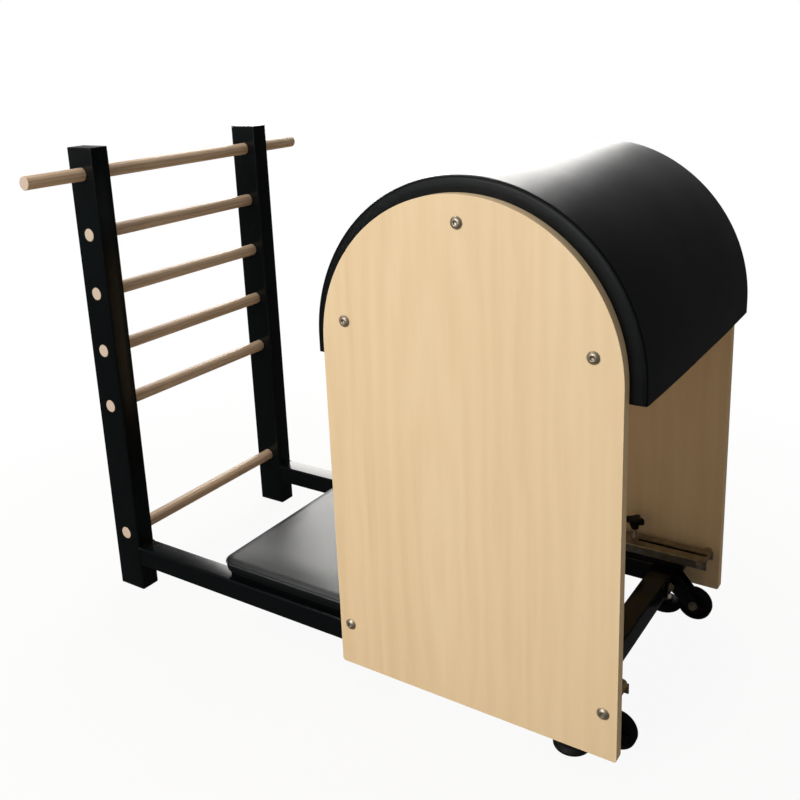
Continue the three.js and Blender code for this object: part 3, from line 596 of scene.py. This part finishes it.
grain = weighed(leatherette, (creases_and_painted_shade, 1.0), (cloud(leatherette, own, 1500.0, 3), 0.5))
relief(leatherette, leather_shader, grain, 0.00012, 0.5)

low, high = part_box("platform_cushion")
spot = centre("platform_cushion")
length, width = high.x - low.x, high.y - low.y
seam_rise = 0.019
rows = [(0.0065, 0.0), (0.0046, 0.0010), (0.0034, 0.004), (0.0030, 0.010), (0.0030, seam_rise - 0.003),
        (0.0026, seam_rise)]
rows += [(0.0028 + 0.015 * (1 - math.cos(a)), seam_rise + 0.0008 + 0.0056 * math.sin(a))
         for a in angles(math.pi / 2, 8, 1)]
blank = skin(level_rings([(rounded(length - 2 * inset, width - 2 * inset, 0.036 - inset, 14), z) for inset, z in rows]))
cushion = piece("platform_cushion_cover", placed(blank, facing("Z", spot.x, spot.y, low.z)))


def from_rim(point):
    """How far inside the cushion's nearest side a point lies."""
    return min(length / 2 - abs(point.x - spot.x), width / 2 - abs(point.y - spot.y))


# The foam swells the cover, held at its underside and its seam; then the crown is evened out.
grid = cushion.modifiers.new("voxels", "REMESH")
grid.mode = "VOXEL"
grid.voxel_size = 0.005
applied(cushion)
start = [vertex.co.copy() for vertex in cushion.data.vertices]
held = cushion.vertex_groups.new(name="held")
for vertex in cushion.data.vertices:
    rise = vertex.co.z - low.z
    if rise < 0.0015 or (abs(rise - seam_rise) < 0.003 and from_rim(vertex.co) < 0.005):
        held.add([vertex.index], 1.0, "REPLACE")
cloth = cushion.modifiers.new("foam", "CLOTH")
cloth.settings.quality = 6
cloth.settings.mass = 0.3
cloth.settings.tension_stiffness = 40
cloth.settings.compression_stiffness = 40
cloth.settings.bending_stiffness = 12
cloth.settings.use_pressure = True
cloth.settings.uniform_pressure_force = 0.3
cloth.settings.vertex_group_mass = "held"
cloth.settings.effector_weights.gravity = 0.0
cloth.collision_settings.use_collision = False
for step in range(1, 21):
    bpy.context.scene.frame_set(step)
applied(cushion)
bpy.context.scene.frame_set(1)
most_up, most_aside = 0.0055, 0.0030
for vertex, was in zip(cushion.data.vertices, start):
    move = vertex.co - was
    most = most_up if move.z > abs(move.x) + abs(move.y) else most_aside
    if move.length > most:
        vertex.co = was + move.normalized() * most
    vertex.co.z = max(vertex.co.z, low.z)
crown = cushion.vertex_groups.new(name="crown")
for vertex in cushion.data.vertices:
    if vertex.co.z - low.z > seam_rise + 0.003:
        crown.add([vertex.index], min(1.0, from_rim(vertex.co) / 0.012), "REPLACE")
smoother = cushion.modifiers.new("relax", "LAPLACIANSMOOTH")
smoother.iterations = 10
smoother.lambda_factor = 0.6
smoother.vertex_group = "crown"
cushion.modifiers.new("finer", "SUBSURF").levels = 1
applied(cushion)
cushion.data.shade_smooth()
dress(cushion, "frame", "leatherette", leatherette, "platform_cushion")

cord_path = rounded(length - 0.0046, width - 0.0046, 0.0337, 28)
cord_path = traced(cord_path + cord_path[:1], 0.003)
upward = Vector((0, 0, 1))
rings = []
for i, (x, y) in enumerate(cord_path[:-1]):
    back, ahead = cord_path[i - 1 if i else -2], cord_path[i + 1]
    out = Vector((ahead[1] - back[1], back[0] - ahead[0], 0)).normalized()
    rings.append(hoop(Vector((spot.x + x, spot.y + y, low.z + seam_rise)), 0.0013, out, upward, 10))
cord = piece("platform_cushion_cord", skin(rings, closed=True), smooth=70)
dress(cord, "frame", "leatherette", leatherette)


# Levelling feet
# A domed rubber foot with a ribbed rim, under a threaded zinc-plated stem with a flange and a
# lock nut that is tightened against the rail.
def threaded(radius, low_z, high_z, pitch, depth):
    """A screw thread as rings whose radius follows the helix."""
    steps = max(4, round((high_z - low_z) / pitch * 4))
    profile = [(radius, low_z + (high_z - low_z) * i / steps) for i in range(steps + 1)]

    def groove(angle, reach, z):
        turn = (z / pitch - angle / (2 * math.pi)) % 1.0
        ends = min(1.0, (z - low_z) / pitch, (high_z - z) / pitch)
        return reach - depth * abs(2 * turn - 1) - depth * (1 - max(0.0, ends))
    return turned(profile, 24, groove)


def to_flat(flat, angle):
    """How far a hexagon reaches at an angle, from the distance between its middle and a flat."""
    return flat / math.cos((angle + math.pi / 6) % (math.pi / 3) - math.pi / 6)


def hexagon(point, low_z, high_z, both=True):
    """A nut or bolt head: six flats cut by a cone at one or both ends."""
    flat = point * math.cos(math.pi / 6)
    cone = [(flat + (point - flat) * t, (point - flat) * 0.62 * t) for t in (0.33, 0.66, 1.0)]
    levels = [(flat * 0.9, low_z)]
    levels += [(flat, low_z)] + [(reach, low_z + rise) for reach, rise in cone] if both else [(point, low_z)]
    levels += [(point, (low_z + high_z) / 2)] + [(reach, high_z - rise) for reach, rise in reversed(cone)]
    levels += [(flat, high_z), (flat * 0.9, high_z)]
    return turned(levels, 72, lambda angle, reach, z: min(to_flat(flat, angle), reach))


def washer(radius, bore, low_z, high_z):
    soft = 0.0003
    return turned([(bore, low_z), (radius - soft, low_z), (radius, low_z + soft), (radius, high_z - soft),
                   (radius - soft, high_z), (bore, high_z), (bore, low_z)], 48)


def metal(name, dark, light, roughness, brushed=0.0, shine=1.0):
    """Metal with fine tool marks, drawn out along X where it is brushed."""
    material, shader = look(name, Metallic=shine)
    own = stretched(material, 1, 1, 1)
    paint(material, shader, ramp(material, cloud(material, own, 60.0, 6), (0.3, dark), (0.7, light)))
    marks = cloud(material, stretched(material, 0.06, 1, 1) if brushed else own, 1800.0, 3)
    wear(material, shader, marks, roughness * 0.75, roughness * 1.3)
    relief(material, shader, marks, 0.00003, 0.3 + brushed)
    return material


plated = metal("zinc_plated", screen(150, 148, 140), screen(196, 194, 186), 0.3)
foot = [(0.0200, 0.0), (0.0220, 0.0), (0.0226, 0.0004)]
foot += [(0.0226 + 0.0114 * math.sin(a), 0.0090 - 0.0086 * math.cos(a)) for a in angles(math.pi / 2, 8, 1)]
foot += [(0.0340, 0.0100), (0.0332, 0.0112), (0.0322, 0.0116), (0.0316, 0.0124)]
foot += [(0.0150 + 0.0166 * math.cos(a), 0.0124 + 0.0076 * math.sin(a)) for a in angles(math.pi / 2, 8, 1)[:-1]]
foot += [(0.0150, 0.0206), (0.0144, 0.0210), (0.0060, 0.0210)]
stem_low, stem_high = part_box("levelling_stem_right")
stem = together(threaded(0.005, stem_low.z, stem_high.z, 0.0015, 0.0007),
                washer(0.013, 0.004, stem_low.z, stem_low.z + 0.003),
                hexagon(0.0098, rail_low.z - 0.0083, rail_low.z - 0.0003))
for side, way in sides:
    at = facing("Z", foot_x, way * rail_y, 0)
    dress(piece(f"rubber_foot_{side}", placed(turned(foot, 72), at)), f"foot_{side}", "rubber_black", rubber,
          f"levelling_foot_{side}")
    dress(piece(f"threaded_stem_{side}", placed(stem, at)), f"foot_{side}", "satin_steel", plated,
          f"levelling_stem_{side}")


# Transport wheels
# Black rubber tyres on ribbed plastic hubs, each in a bracket of bent and welded steel that is
# bolted to the cross member. Plated hexagon bolts with washers hold the bracket and the wheel.
def finer(name, source, edge):
    """A copy of a flat-sided CAD node as a new piece with rounded edges."""
    mesh = bpy.data.meshes.new(name)
    work = bmesh.new()
    work.from_mesh(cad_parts[source].data)
    bmesh.ops.remove_doubles(work, verts=work.verts, dist=0.00002)
    bmesh.ops.dissolve_limit(work, angle_limit=math.radians(1), verts=work.verts, edges=work.edges)
    work.to_mesh(mesh)
    work.free()
    mesh.shade_smooth()
    made = bpy.data.objects.new(name, mesh)
    bpy.context.scene.collection.objects.link(made)
    round_edges(made, edge, 2, 35)
    return applied(made)


chrome = metal("polished_chrome", screen(150, 137, 120), screen(176, 163, 145), 0.4, shine=0.8)
low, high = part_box("transport_wheel_right")
radius, half = (high.z - low.z) / 2, (high.y - low.y) / 2
rim = radius - 0.0082
shoulder = 0.006
tyre = [(rim, -half + 0.0004), (rim + 0.0008, -half)]
tyre += [(radius - shoulder * (1 - math.sin(a)), -half + shoulder * (1 - math.cos(a))) for a in angles(math.pi / 2, 7)]
tyre += [(radius, -0.003), (radius, 0.003)]
tyre += [(radius - shoulder * (1 - math.cos(a)), half - shoulder * (1 - math.sin(a))) for a in angles(math.pi / 2, 7)]
tyre += [(rim + 0.0008, half), (rim, half - 0.0004), (rim, -half + 0.0004)]
web = half - 0.004
hub = [(0.0043, -half), (0.0112, -half), (0.0120, -half + 0.0008), (0.0124, -web), (rim - 0.0010, -web),
       (rim - 0.0002, -half + 0.0012), (rim - 0.0001, half - 0.0012), (rim - 0.0010, web), (0.0124, web),
       (0.0120, half - 0.0008), (0.0112, half), (0.0043, half), (0.0043, -half)]
rib_outline = rounded(rim - 0.0122, 0.0018, 0.0004, 2)
rib = skin(level_rings([(rib_outline, -half + 0.0016), (rib_outline, half - 0.0016)]))
rib_out = Matrix.Translation(((rim + 0.0122) / 2 - 0.0002, 0, 0))
ribs = [placed(rib, Matrix.Rotation(a, 4, "Z") @ rib_out) for a in angles(2 * math.pi, 6)[:-1]]
at = facing("Y", *centre("transport_wheel_right"))
tyre = placed(turned(tyre, 72), at)
hub = placed(together(turned(hub, 64), *ribs), at)

nut_point = 0.0074
shank, core = 0.004, 0.0005
axle_low, axle_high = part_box("wheel_axle_right")
first, last = axle_low.y, axle_high.y
axle = together(turned([(core, first + 0.003), (shank, first + 0.003), (shank, last - 0.0006),
                        (shank - 0.0006, last), (core, last)], 28),
                hexagon(nut_point, first, first + 0.006, both=False),
                washer(0.009, shank, first + 0.006, first + 0.0078),
                washer(0.009, shank, last - 0.012, last - 0.0102),
                hexagon(nut_point, last - 0.0102, last - 0.0042))
axle = placed(axle, facing("Y", centre("wheel_axle_right").x, 0, centre("wheel_axle_right").z))
bolt_low, bolt_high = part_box("wheel_fork_bolt_right")
first, last = bolt_low.x, bolt_high.x
fork_bolt = together(turned([(core, first), (shank - 0.0006, first), (shank, first + 0.0006),
                             (shank, last - 0.003), (core, last - 0.003)], 28),
                     washer(0.009, shank, last - 0.0078, last - 0.006),
                     hexagon(nut_point, last - 0.006, last, both=False))
fork_bolt = placed(fork_bolt, facing("X", 0, bolt_y, bolt_z))
for side, way in sides:
    dress(piece(f"tyre_{side}", sided(tyre, way)), f"wheel_{side}", "rubber_black", rubber, f"transport_wheel_{side}")
    dress(piece(f"wheel_hub_{side}", sided(hub, way), smooth=40), f"wheel_{side}", "cap_black", plastic)
    dress(finer(f"wheel_bracket_{side}", f"wheel_fork_{side}", 0.0006), "frame", "frame_black", powder,
          f"wheel_fork_{side}")
    dress(piece(f"axle_bolt_{side}", sided(axle, way)), "frame", "chrome", chrome, f"wheel_axle_{side}")
    dress(piece(f"bracket_bolt_{side}", sided(fork_bolt, way)), "frame", "chrome", chrome, f"wheel_fork_bolt_{side}")


# Side panels
# Boards with maple veneer on both faces and a veneered edge, sealed with a satin lacquer. The
# grain runs upright and is faint. Each board is drilled for its five bolts.
maple, maple_shader = look("maple_veneer", Specular_IOR_Level=0.35)
grain = stretched(maple, 1, 1, 0.035)
streaks = cloud(maple, grain, 46.0, 8, 0.6, 0.35)
fine = cloud(maple, grain, 420.0, 4, 0.55)
broad = cloud(maple, stretched(maple, 1, 1, 0.12), 5.0, 3, 0.5, 0.8)
# Long pointed arches stand one in another, as where a log is cut flat.
arch_middle = node(maple, "VectorMath", {0: stretched(maple, 1, 0, 0.11), 1: (-0.27, 0.0, -0.03)},
                   operation="ADD").outputs[0]
figure = node(maple, "TexWave", {"Vector": arch_middle, "Scale": 9.0, "Distortion": 9.0, "Detail": 5.0,
                                 "Detail Scale": 1.6, "Detail Roughness": 0.6},
              wave_type="RINGS", rings_direction="Y").outputs["Fac"]
tone = weighed(maple, (streaks, 0.38), (broad, 0.5), (figure, 0.12))
colour = ramp(maple, tone, (0.22, screen(217, 188, 147)), (0.5, screen(226, 199, 158)), (0.8, screen(232, 208, 170)))
# A few narrow streaks are darker.
dark_streaks = spread(maple, cloud(maple, stretched(maple, 1, 1, 0.05), 17.0, 6, 0.6, 0.5), 0.62, 0.76, 0.0, 0.2)
colour = blended(maple, dark_streaks, colour, screen(203, 168, 124))
pores = spread(maple, fine, 0.62, 0.76, 0.0, 0.14)
paint(maple, maple_shader, blended(maple, pores, colour, screen(196, 158, 114)))
wear(maple, maple_shader, streaks, 0.40, 0.50)
relief(maple, maple_shader, fine, 0.00006, 0.3)

low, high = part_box("side_panel_right")
half = (high.x - low.x) / 2
axis_x, axis_z = (low.x + high.x) / 2, high.z - half
soft = 0.005
heel = low.z - axis_z + soft
outline = [(half * math.cos(a), half * math.sin(a)) for a in angles(math.pi, 144)]
outline += [(-half + soft * (1 - math.cos(a)), heel - soft * math.sin(a)) for a in angles(math.pi / 2, 8)]
outline += [(half - soft * (1 - math.sin(a)), heel - soft * math.cos(a)) for a in angles(math.pi / 2, 8)]
stood_up = Matrix(((1, 0, 0, axis_x), (0, 0, -1, 0), (0, 1, 0, axis_z), (0, 0, 0, 1)))
panel = placed(skin(level_rings([(outline, -high.y), (outline, -low.y)])), stood_up)
bolts = ("top", "front", "rear", "lower_front", "lower_rear")
holes = []
for name in bolts:
    at = centre(f"panel_bolt_{name}_right")
    holes.append(drill(0.0046, 0.03, facing("Y", at.x, (low.y + high.y) / 2, at.z)))
for side, way in sides:
    board = piece(f"maple_panel_{side}", sided(panel, way), [sided(hole, way) for hole in holes], 0.0012, 3)
    dress(board, "barrel", "maple_veneer", maple, f"side_panel_{side}")


# Panel bolts
# Button-head bolts with a hexagon socket, chrome plated. The rear lower one goes right through
# the panel, a spacer and the slide, and ends in a washer and a nut.
head_rise = 0.0046


def button(length):
    """A domed head on Z with a hexagon socket, over a plain shank that points down."""
    levels = [(core, -length), (shank - 0.0006, -length), (shank, -length + 0.0006), (shank, 0.0), (0.0100, 0.0),
              (0.0105, 0.0004), (0.0105, 0.0012)]
    levels += [(0.0105 - 0.0058 * t, 0.0012 + (head_rise - 0.0012) * math.sin(t * math.pi / 2))
               for t in (i / 8 for i in range(1, 9))]
    socket = [(0.0040, head_rise - 0.0004), (0.0036, head_rise - 0.0012), (0.0036, head_rise - 0.0028)]

    def six_sided_socket(angle, reach, z):
        return to_flat(reach * math.cos(math.pi / 6), angle) if (reach, z) in socket else reach
    return turned(levels + [(0.00425, head_rise - 0.0001)] + socket + [(0.0008, head_rise - 0.0034)], 72,
                  six_sided_socket)


for side, way in sides:
    for name in bolts:
        low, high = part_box(f"panel_bolt_{name}_right")
        at = centre(f"panel_bolt_{name}_right")
        tip = low.y - (high.y - head_rise)
        shape = button(-tip)
        if name == "lower_rear":
            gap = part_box("side_panel_right")[0].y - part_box("slide_channel_right")[1].y - 0.0006
            shape = together(shape, hexagon(nut_point, tip + 0.0014, tip + 0.0074),
                             washer(0.009, shank, tip + 0.0074, tip + 0.0092),
                             washer(0.008, 0.0041, -0.0206 - gap, -0.0206))
        turn = facing("Y", at.x, high.y - head_rise, at.z) @ Matrix.Rotation(math.radians(17 * len(name)), 4, "Z")
        dress(piece(f"bolt_{name}_{side}", sided(placed(shape, turn), way)), "barrel", "chrome", chrome,
              f"panel_bolt_{name}_{side}")


# Bent plywood shell and battens
# A sheet of plywood bent over three battens carries the pad, and the upper bolts screw into
# the battens' ends. All of it lies under the pad, between the panels.
bent, bent_shader = look("bent_plywood", Specular_IOR_Level=0.3)
own = node(bent, "TexCoord").outputs["Object"]
from_axis = node(bent, "VectorMath", {0: own, 1: (axis_x, 0, axis_z)}, operation="SUBTRACT").outputs[0]
flat = node(bent, "VectorMath", {0: from_axis, 1: (1, 0, 1)}, operation="MULTIPLY").outputs[0]
depth = node(bent, "VectorMath", {0: flat}, operation="LENGTH").outputs["Value"]
veneers(bent, bent_shader, depth, cloud(bent, stretched(bent, 1, 0.07, 1), 120.0, 6), (0.35, 0.65),
        ((0.25, screen(150, 108, 70)), (0.5, screen(190, 150, 106)), (0.8, screen(212, 176, 132))), 0.5, 0.66)
shell_low, shell_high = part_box("barrel_shell")
outer = (shell_high.x - shell_low.x) / 2
inner = outer - 0.012
skirt = axis_z - shell_low.z
half_length = (shell_high.y - shell_low.y) / 2
stations = [(0.0, skirt)] + [(a, 0.0) for a in angles(math.pi, 128)] + [(math.pi, skirt)]
section = [(inner, -half_length), (outer, -half_length), (outer, half_length), (inner, half_length)]
rings = [[(axis_x + r * math.cos(a), y, axis_z + r * math.sin(a) - drop) for r, y in section] for a, drop in stations]
dress(piece("bent_shell", skin(rings), edge=0.0008), "barrel", "plywood", bent, "barrel_shell")

ply = flat_plywood("plywood_layers", 0.3, (0.5, 0.6),
                   ((0.2, screen(128, 88, 54)), (0.55, screen(186, 145, 100)), (0.85, screen(214, 178, 132))),
                   0.5, 0.68)
for name in ("top", "front", "rear"):
    dress(finer(f"batten_bar_{name}", f"batten_{name}", 0.0012), "barrel", "plywood", ply, f"batten_{name}")


# Barrel pad
# Thick foam under black leatherette, bent over the shell: a long top panel sewn to an end band
# on each side. The band swells out over the panel's edge, with a sunk seam below the rounded
# outer edge, and the ends are turned under along the bottom.
pad_low, pad_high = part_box("barrel_pad")
pad_radius = (pad_high.x - pad_low.x) / 2
under_radius = outer + 0.0003
end_y = pad_high.y
skirt = axis_z - pad_low.z
crown = 0.0025
edge_top = pad_radius - crown
band_low, band_width, seam = 0.2755, 0.0215, 0.2994
section = [(under_radius, end_y - 0.003), (under_radius + 0.0012, end_y - 0.0006), (under_radius + 0.004, end_y),
           (band_low, end_y)]
section += [(band_low + band_width * t, end_y + 0.0008 * math.sin(math.pi * t * 1.04) ** 0.8)
            for t in (i / 8 for i in range(1, 8))]
section += [(band_low + band_width, end_y), (0.2980, end_y - 0.0006), (0.2988, end_y - 0.0004),
            (seam, end_y + 0.0002)]
section += [(seam + (edge_top - seam) * math.sin(a), end_y + 0.0002 - 0.006 * (1 - math.cos(a)))
            for a in angles(math.pi / 2, 7, 1)]
top = []
for i in range(41):
    share = 1 - i / 20
    top.append((pad_radius - crown * share ** 2 * abs(share), share * (end_y - 0.0075)))
section = section + top + [(r, -y) for r, y in reversed(section)]
tuck = 0.008
turned_under = [(skirt, tuck)]
for a in angles(math.pi / 2, 8, 1):
    draw = tuck * (1 - math.sin(a))
    turned_under.append((skirt - draw, draw))
turned_under += [((skirt - tuck) * (1 - i / 6), 0.0) for i in range(1, 6)]
stations = [(0.0, drop, draw) for drop, draw in turned_under]
stations += [(a, 0.0, 0.0) for a in angles(math.pi, 176)]
stations += [(math.pi, drop, draw) for drop, draw in reversed(turned_under)]
rings = []
for angle, drop, draw in stations:
    ring = []
    for r, y in section:
        lift = 0.0
        if r > band_low:
            lift = 0.0006 * noise.noise(9 * Vector((r * math.cos(angle), y, r * math.sin(angle))))
        reach = max(under_radius, r - draw + lift) if r > under_radius + 0.006 else r
        across = math.copysign(max(0.0, abs(y) - draw * 0.6), y)
        ring.append((axis_x + reach * math.cos(angle), across, axis_z + reach * math.sin(angle) - drop))
    rings.append(ring[::-1])
pad = piece("barrel_pad_cover", skin(rings), smooth=75)
dress(pad, "barrel", "leatherette", leatherette, "barrel_pad")


# Rear slides
# A shallow channel of satin steel over a bar of black nylon that rides on the rail, both with a
# slot for the clamping stud, which is open at the bar's rear end. In front, a nylon runner on
# each panel hooks over the rail's outer edge.
satin = metal("satin_steel", screen(140, 134, 118), screen(172, 166, 148), 0.36, 0.4)
low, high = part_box("slide_channel_right")
spot = centre("slide_channel_right")
sheet, bend = 0.003, 0.003
half, leg = (high.y - low.y) / 2, low.z - high.z
profile = [(-half, leg), (-half + sheet, leg), (-half + sheet, -sheet), (half - sheet, -sheet), (half - sheet, leg),
           (half, leg)]
profile += [(half - bend * (1 - math.cos(a)), -bend * (1 - math.sin(a))) for a in angles(math.pi / 2, 6)]
profile += [(-half + bend * (1 - math.sin(a)), -bend * (1 - math.cos(a))) for a in angles(math.pi / 2, 6)]
channel = placed(skin(level_rings([(profile, low.x), (profile, high.x)])), facing("X", 0, spot.y, high.z))
bar_low, bar_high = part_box("slide_bar_right")
bar_spot = centre("slide_bar_right")
bar_size = rounded(bar_high.y - bar_low.y, bar_high.z - bar_low.z, 0.0004, 1)
bar = placed(skin(level_rings([(bar_size, bar_low.x), (bar_size, bar_high.x)])),
             facing("X", 0, bar_spot.y, bar_spot.z))


def slot_cut(end, low_z, high_z):
    """A bar with round sides that cuts a slot from the clamping stud back to an end."""
    radius = 0.0052
    points = [(end + radius * math.sin(a), -radius * math.cos(a)) for a in angles(math.pi, 16)]
    points += [(knob_x - radius * math.sin(a), radius * math.cos(a)) for a in angles(math.pi, 16)]
    return placed(skin(level_rings([(points, low_z), (points, high_z)])), facing("Z", 0, rail_y, 0))


through = centre("panel_bolt_lower_rear_right")
channel_cuts = [slot_cut(high.x - 0.009, high.z - 0.008, high.z + 0.01),
                drill(0.0044, 0.05, facing("Y", through.x, spot.y, through.z))]
bar_cut = slot_cut(bar_high.x + 0.01, bar_low.z - 0.01, bar_high.z + 0.01)
for side, way in sides:
    plate = piece(f"channel_{side}", sided(channel, way), [sided(cut, way) for cut in channel_cuts], edge=0.0003)
    dress(plate, "barrel", "satin_steel", satin, f"slide_channel_{side}")
    dress(piece(f"nylon_bar_{side}", sided(bar, way), [sided(bar_cut, way)], edge=0.0004), "barrel", "cap_black",
          plastic, f"slide_bar_{side}")
    dress(finer(f"nylon_runner_{side}", f"front_runner_{side}", 0.0008), "barrel", "cap_black", plastic,
          f"front_runner_{side}")


# Clamping knobs
# A four-lobed plastic knob moulded on a threaded stud. Screwed down, it presses its washer on
# the channel and clamps the slide to the rail.
hub_rise, head_reach = 0.0117, 0.0205


def star(angle, reach, z):
    """Round at the hub and lobed at the head above it."""
    lobed = 0.0170 + 0.0035 * math.cos(4 * angle) + 0.0004 * math.cos(8 * angle)
    return reach if z < hub_rise else reach / head_reach * lobed


knob_hub = [(0.0043, 0.0), (0.0078, 0.0), (0.0084, 0.0005), (0.0086, 0.0018), (0.0088, 0.0080), (0.0094, 0.0106),
            (0.0102, 0.0115)]
knob_head = [(0.0150, 0.0118), (0.0180, 0.0121), (0.0194, 0.0126), (0.0202, 0.0136), (head_reach, 0.0150),
             (head_reach, 0.0202), (0.0203, 0.0216), (0.0197, 0.0228), (0.0186, 0.0237), (0.0170, 0.0242),
             (0.0140, 0.0246), (0.0100, 0.02485), (0.0050, 0.0250), (0.0008, 0.0250)]
knob_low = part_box("clamp_knob_right")[0].z
knob = placed(turned(knob_hub + knob_head, 96, star), Matrix.Translation((0, 0, knob_low)))
stud_low, stud_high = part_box("clamp_stud_right")
stud = threaded(0.004, stud_low.z, stud_high.z, 0.00125, 0.0006)
ring_low, ring_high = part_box("clamp_washer_right")
ring = washer(0.0105, 0.0043, ring_low.z, ring_high.z)
for side, way in sides:
    at = facing("Z", knob_x, way * rail_y, 0)
    dress(piece(f"star_knob_{side}", placed(knob, at), smooth=40), f"knob_{side}", "cap_black", plastic,
          f"clamp_knob_{side}")
    dress(piece(f"threaded_stud_{side}", placed(stud, at)), f"stud_{side}", "satin_steel", plated,
          f"clamp_stud_{side}")
    dress(piece(f"washer_{side}", placed(ring, at)), "frame", "chrome", chrome, f"clamp_washer_{side}")
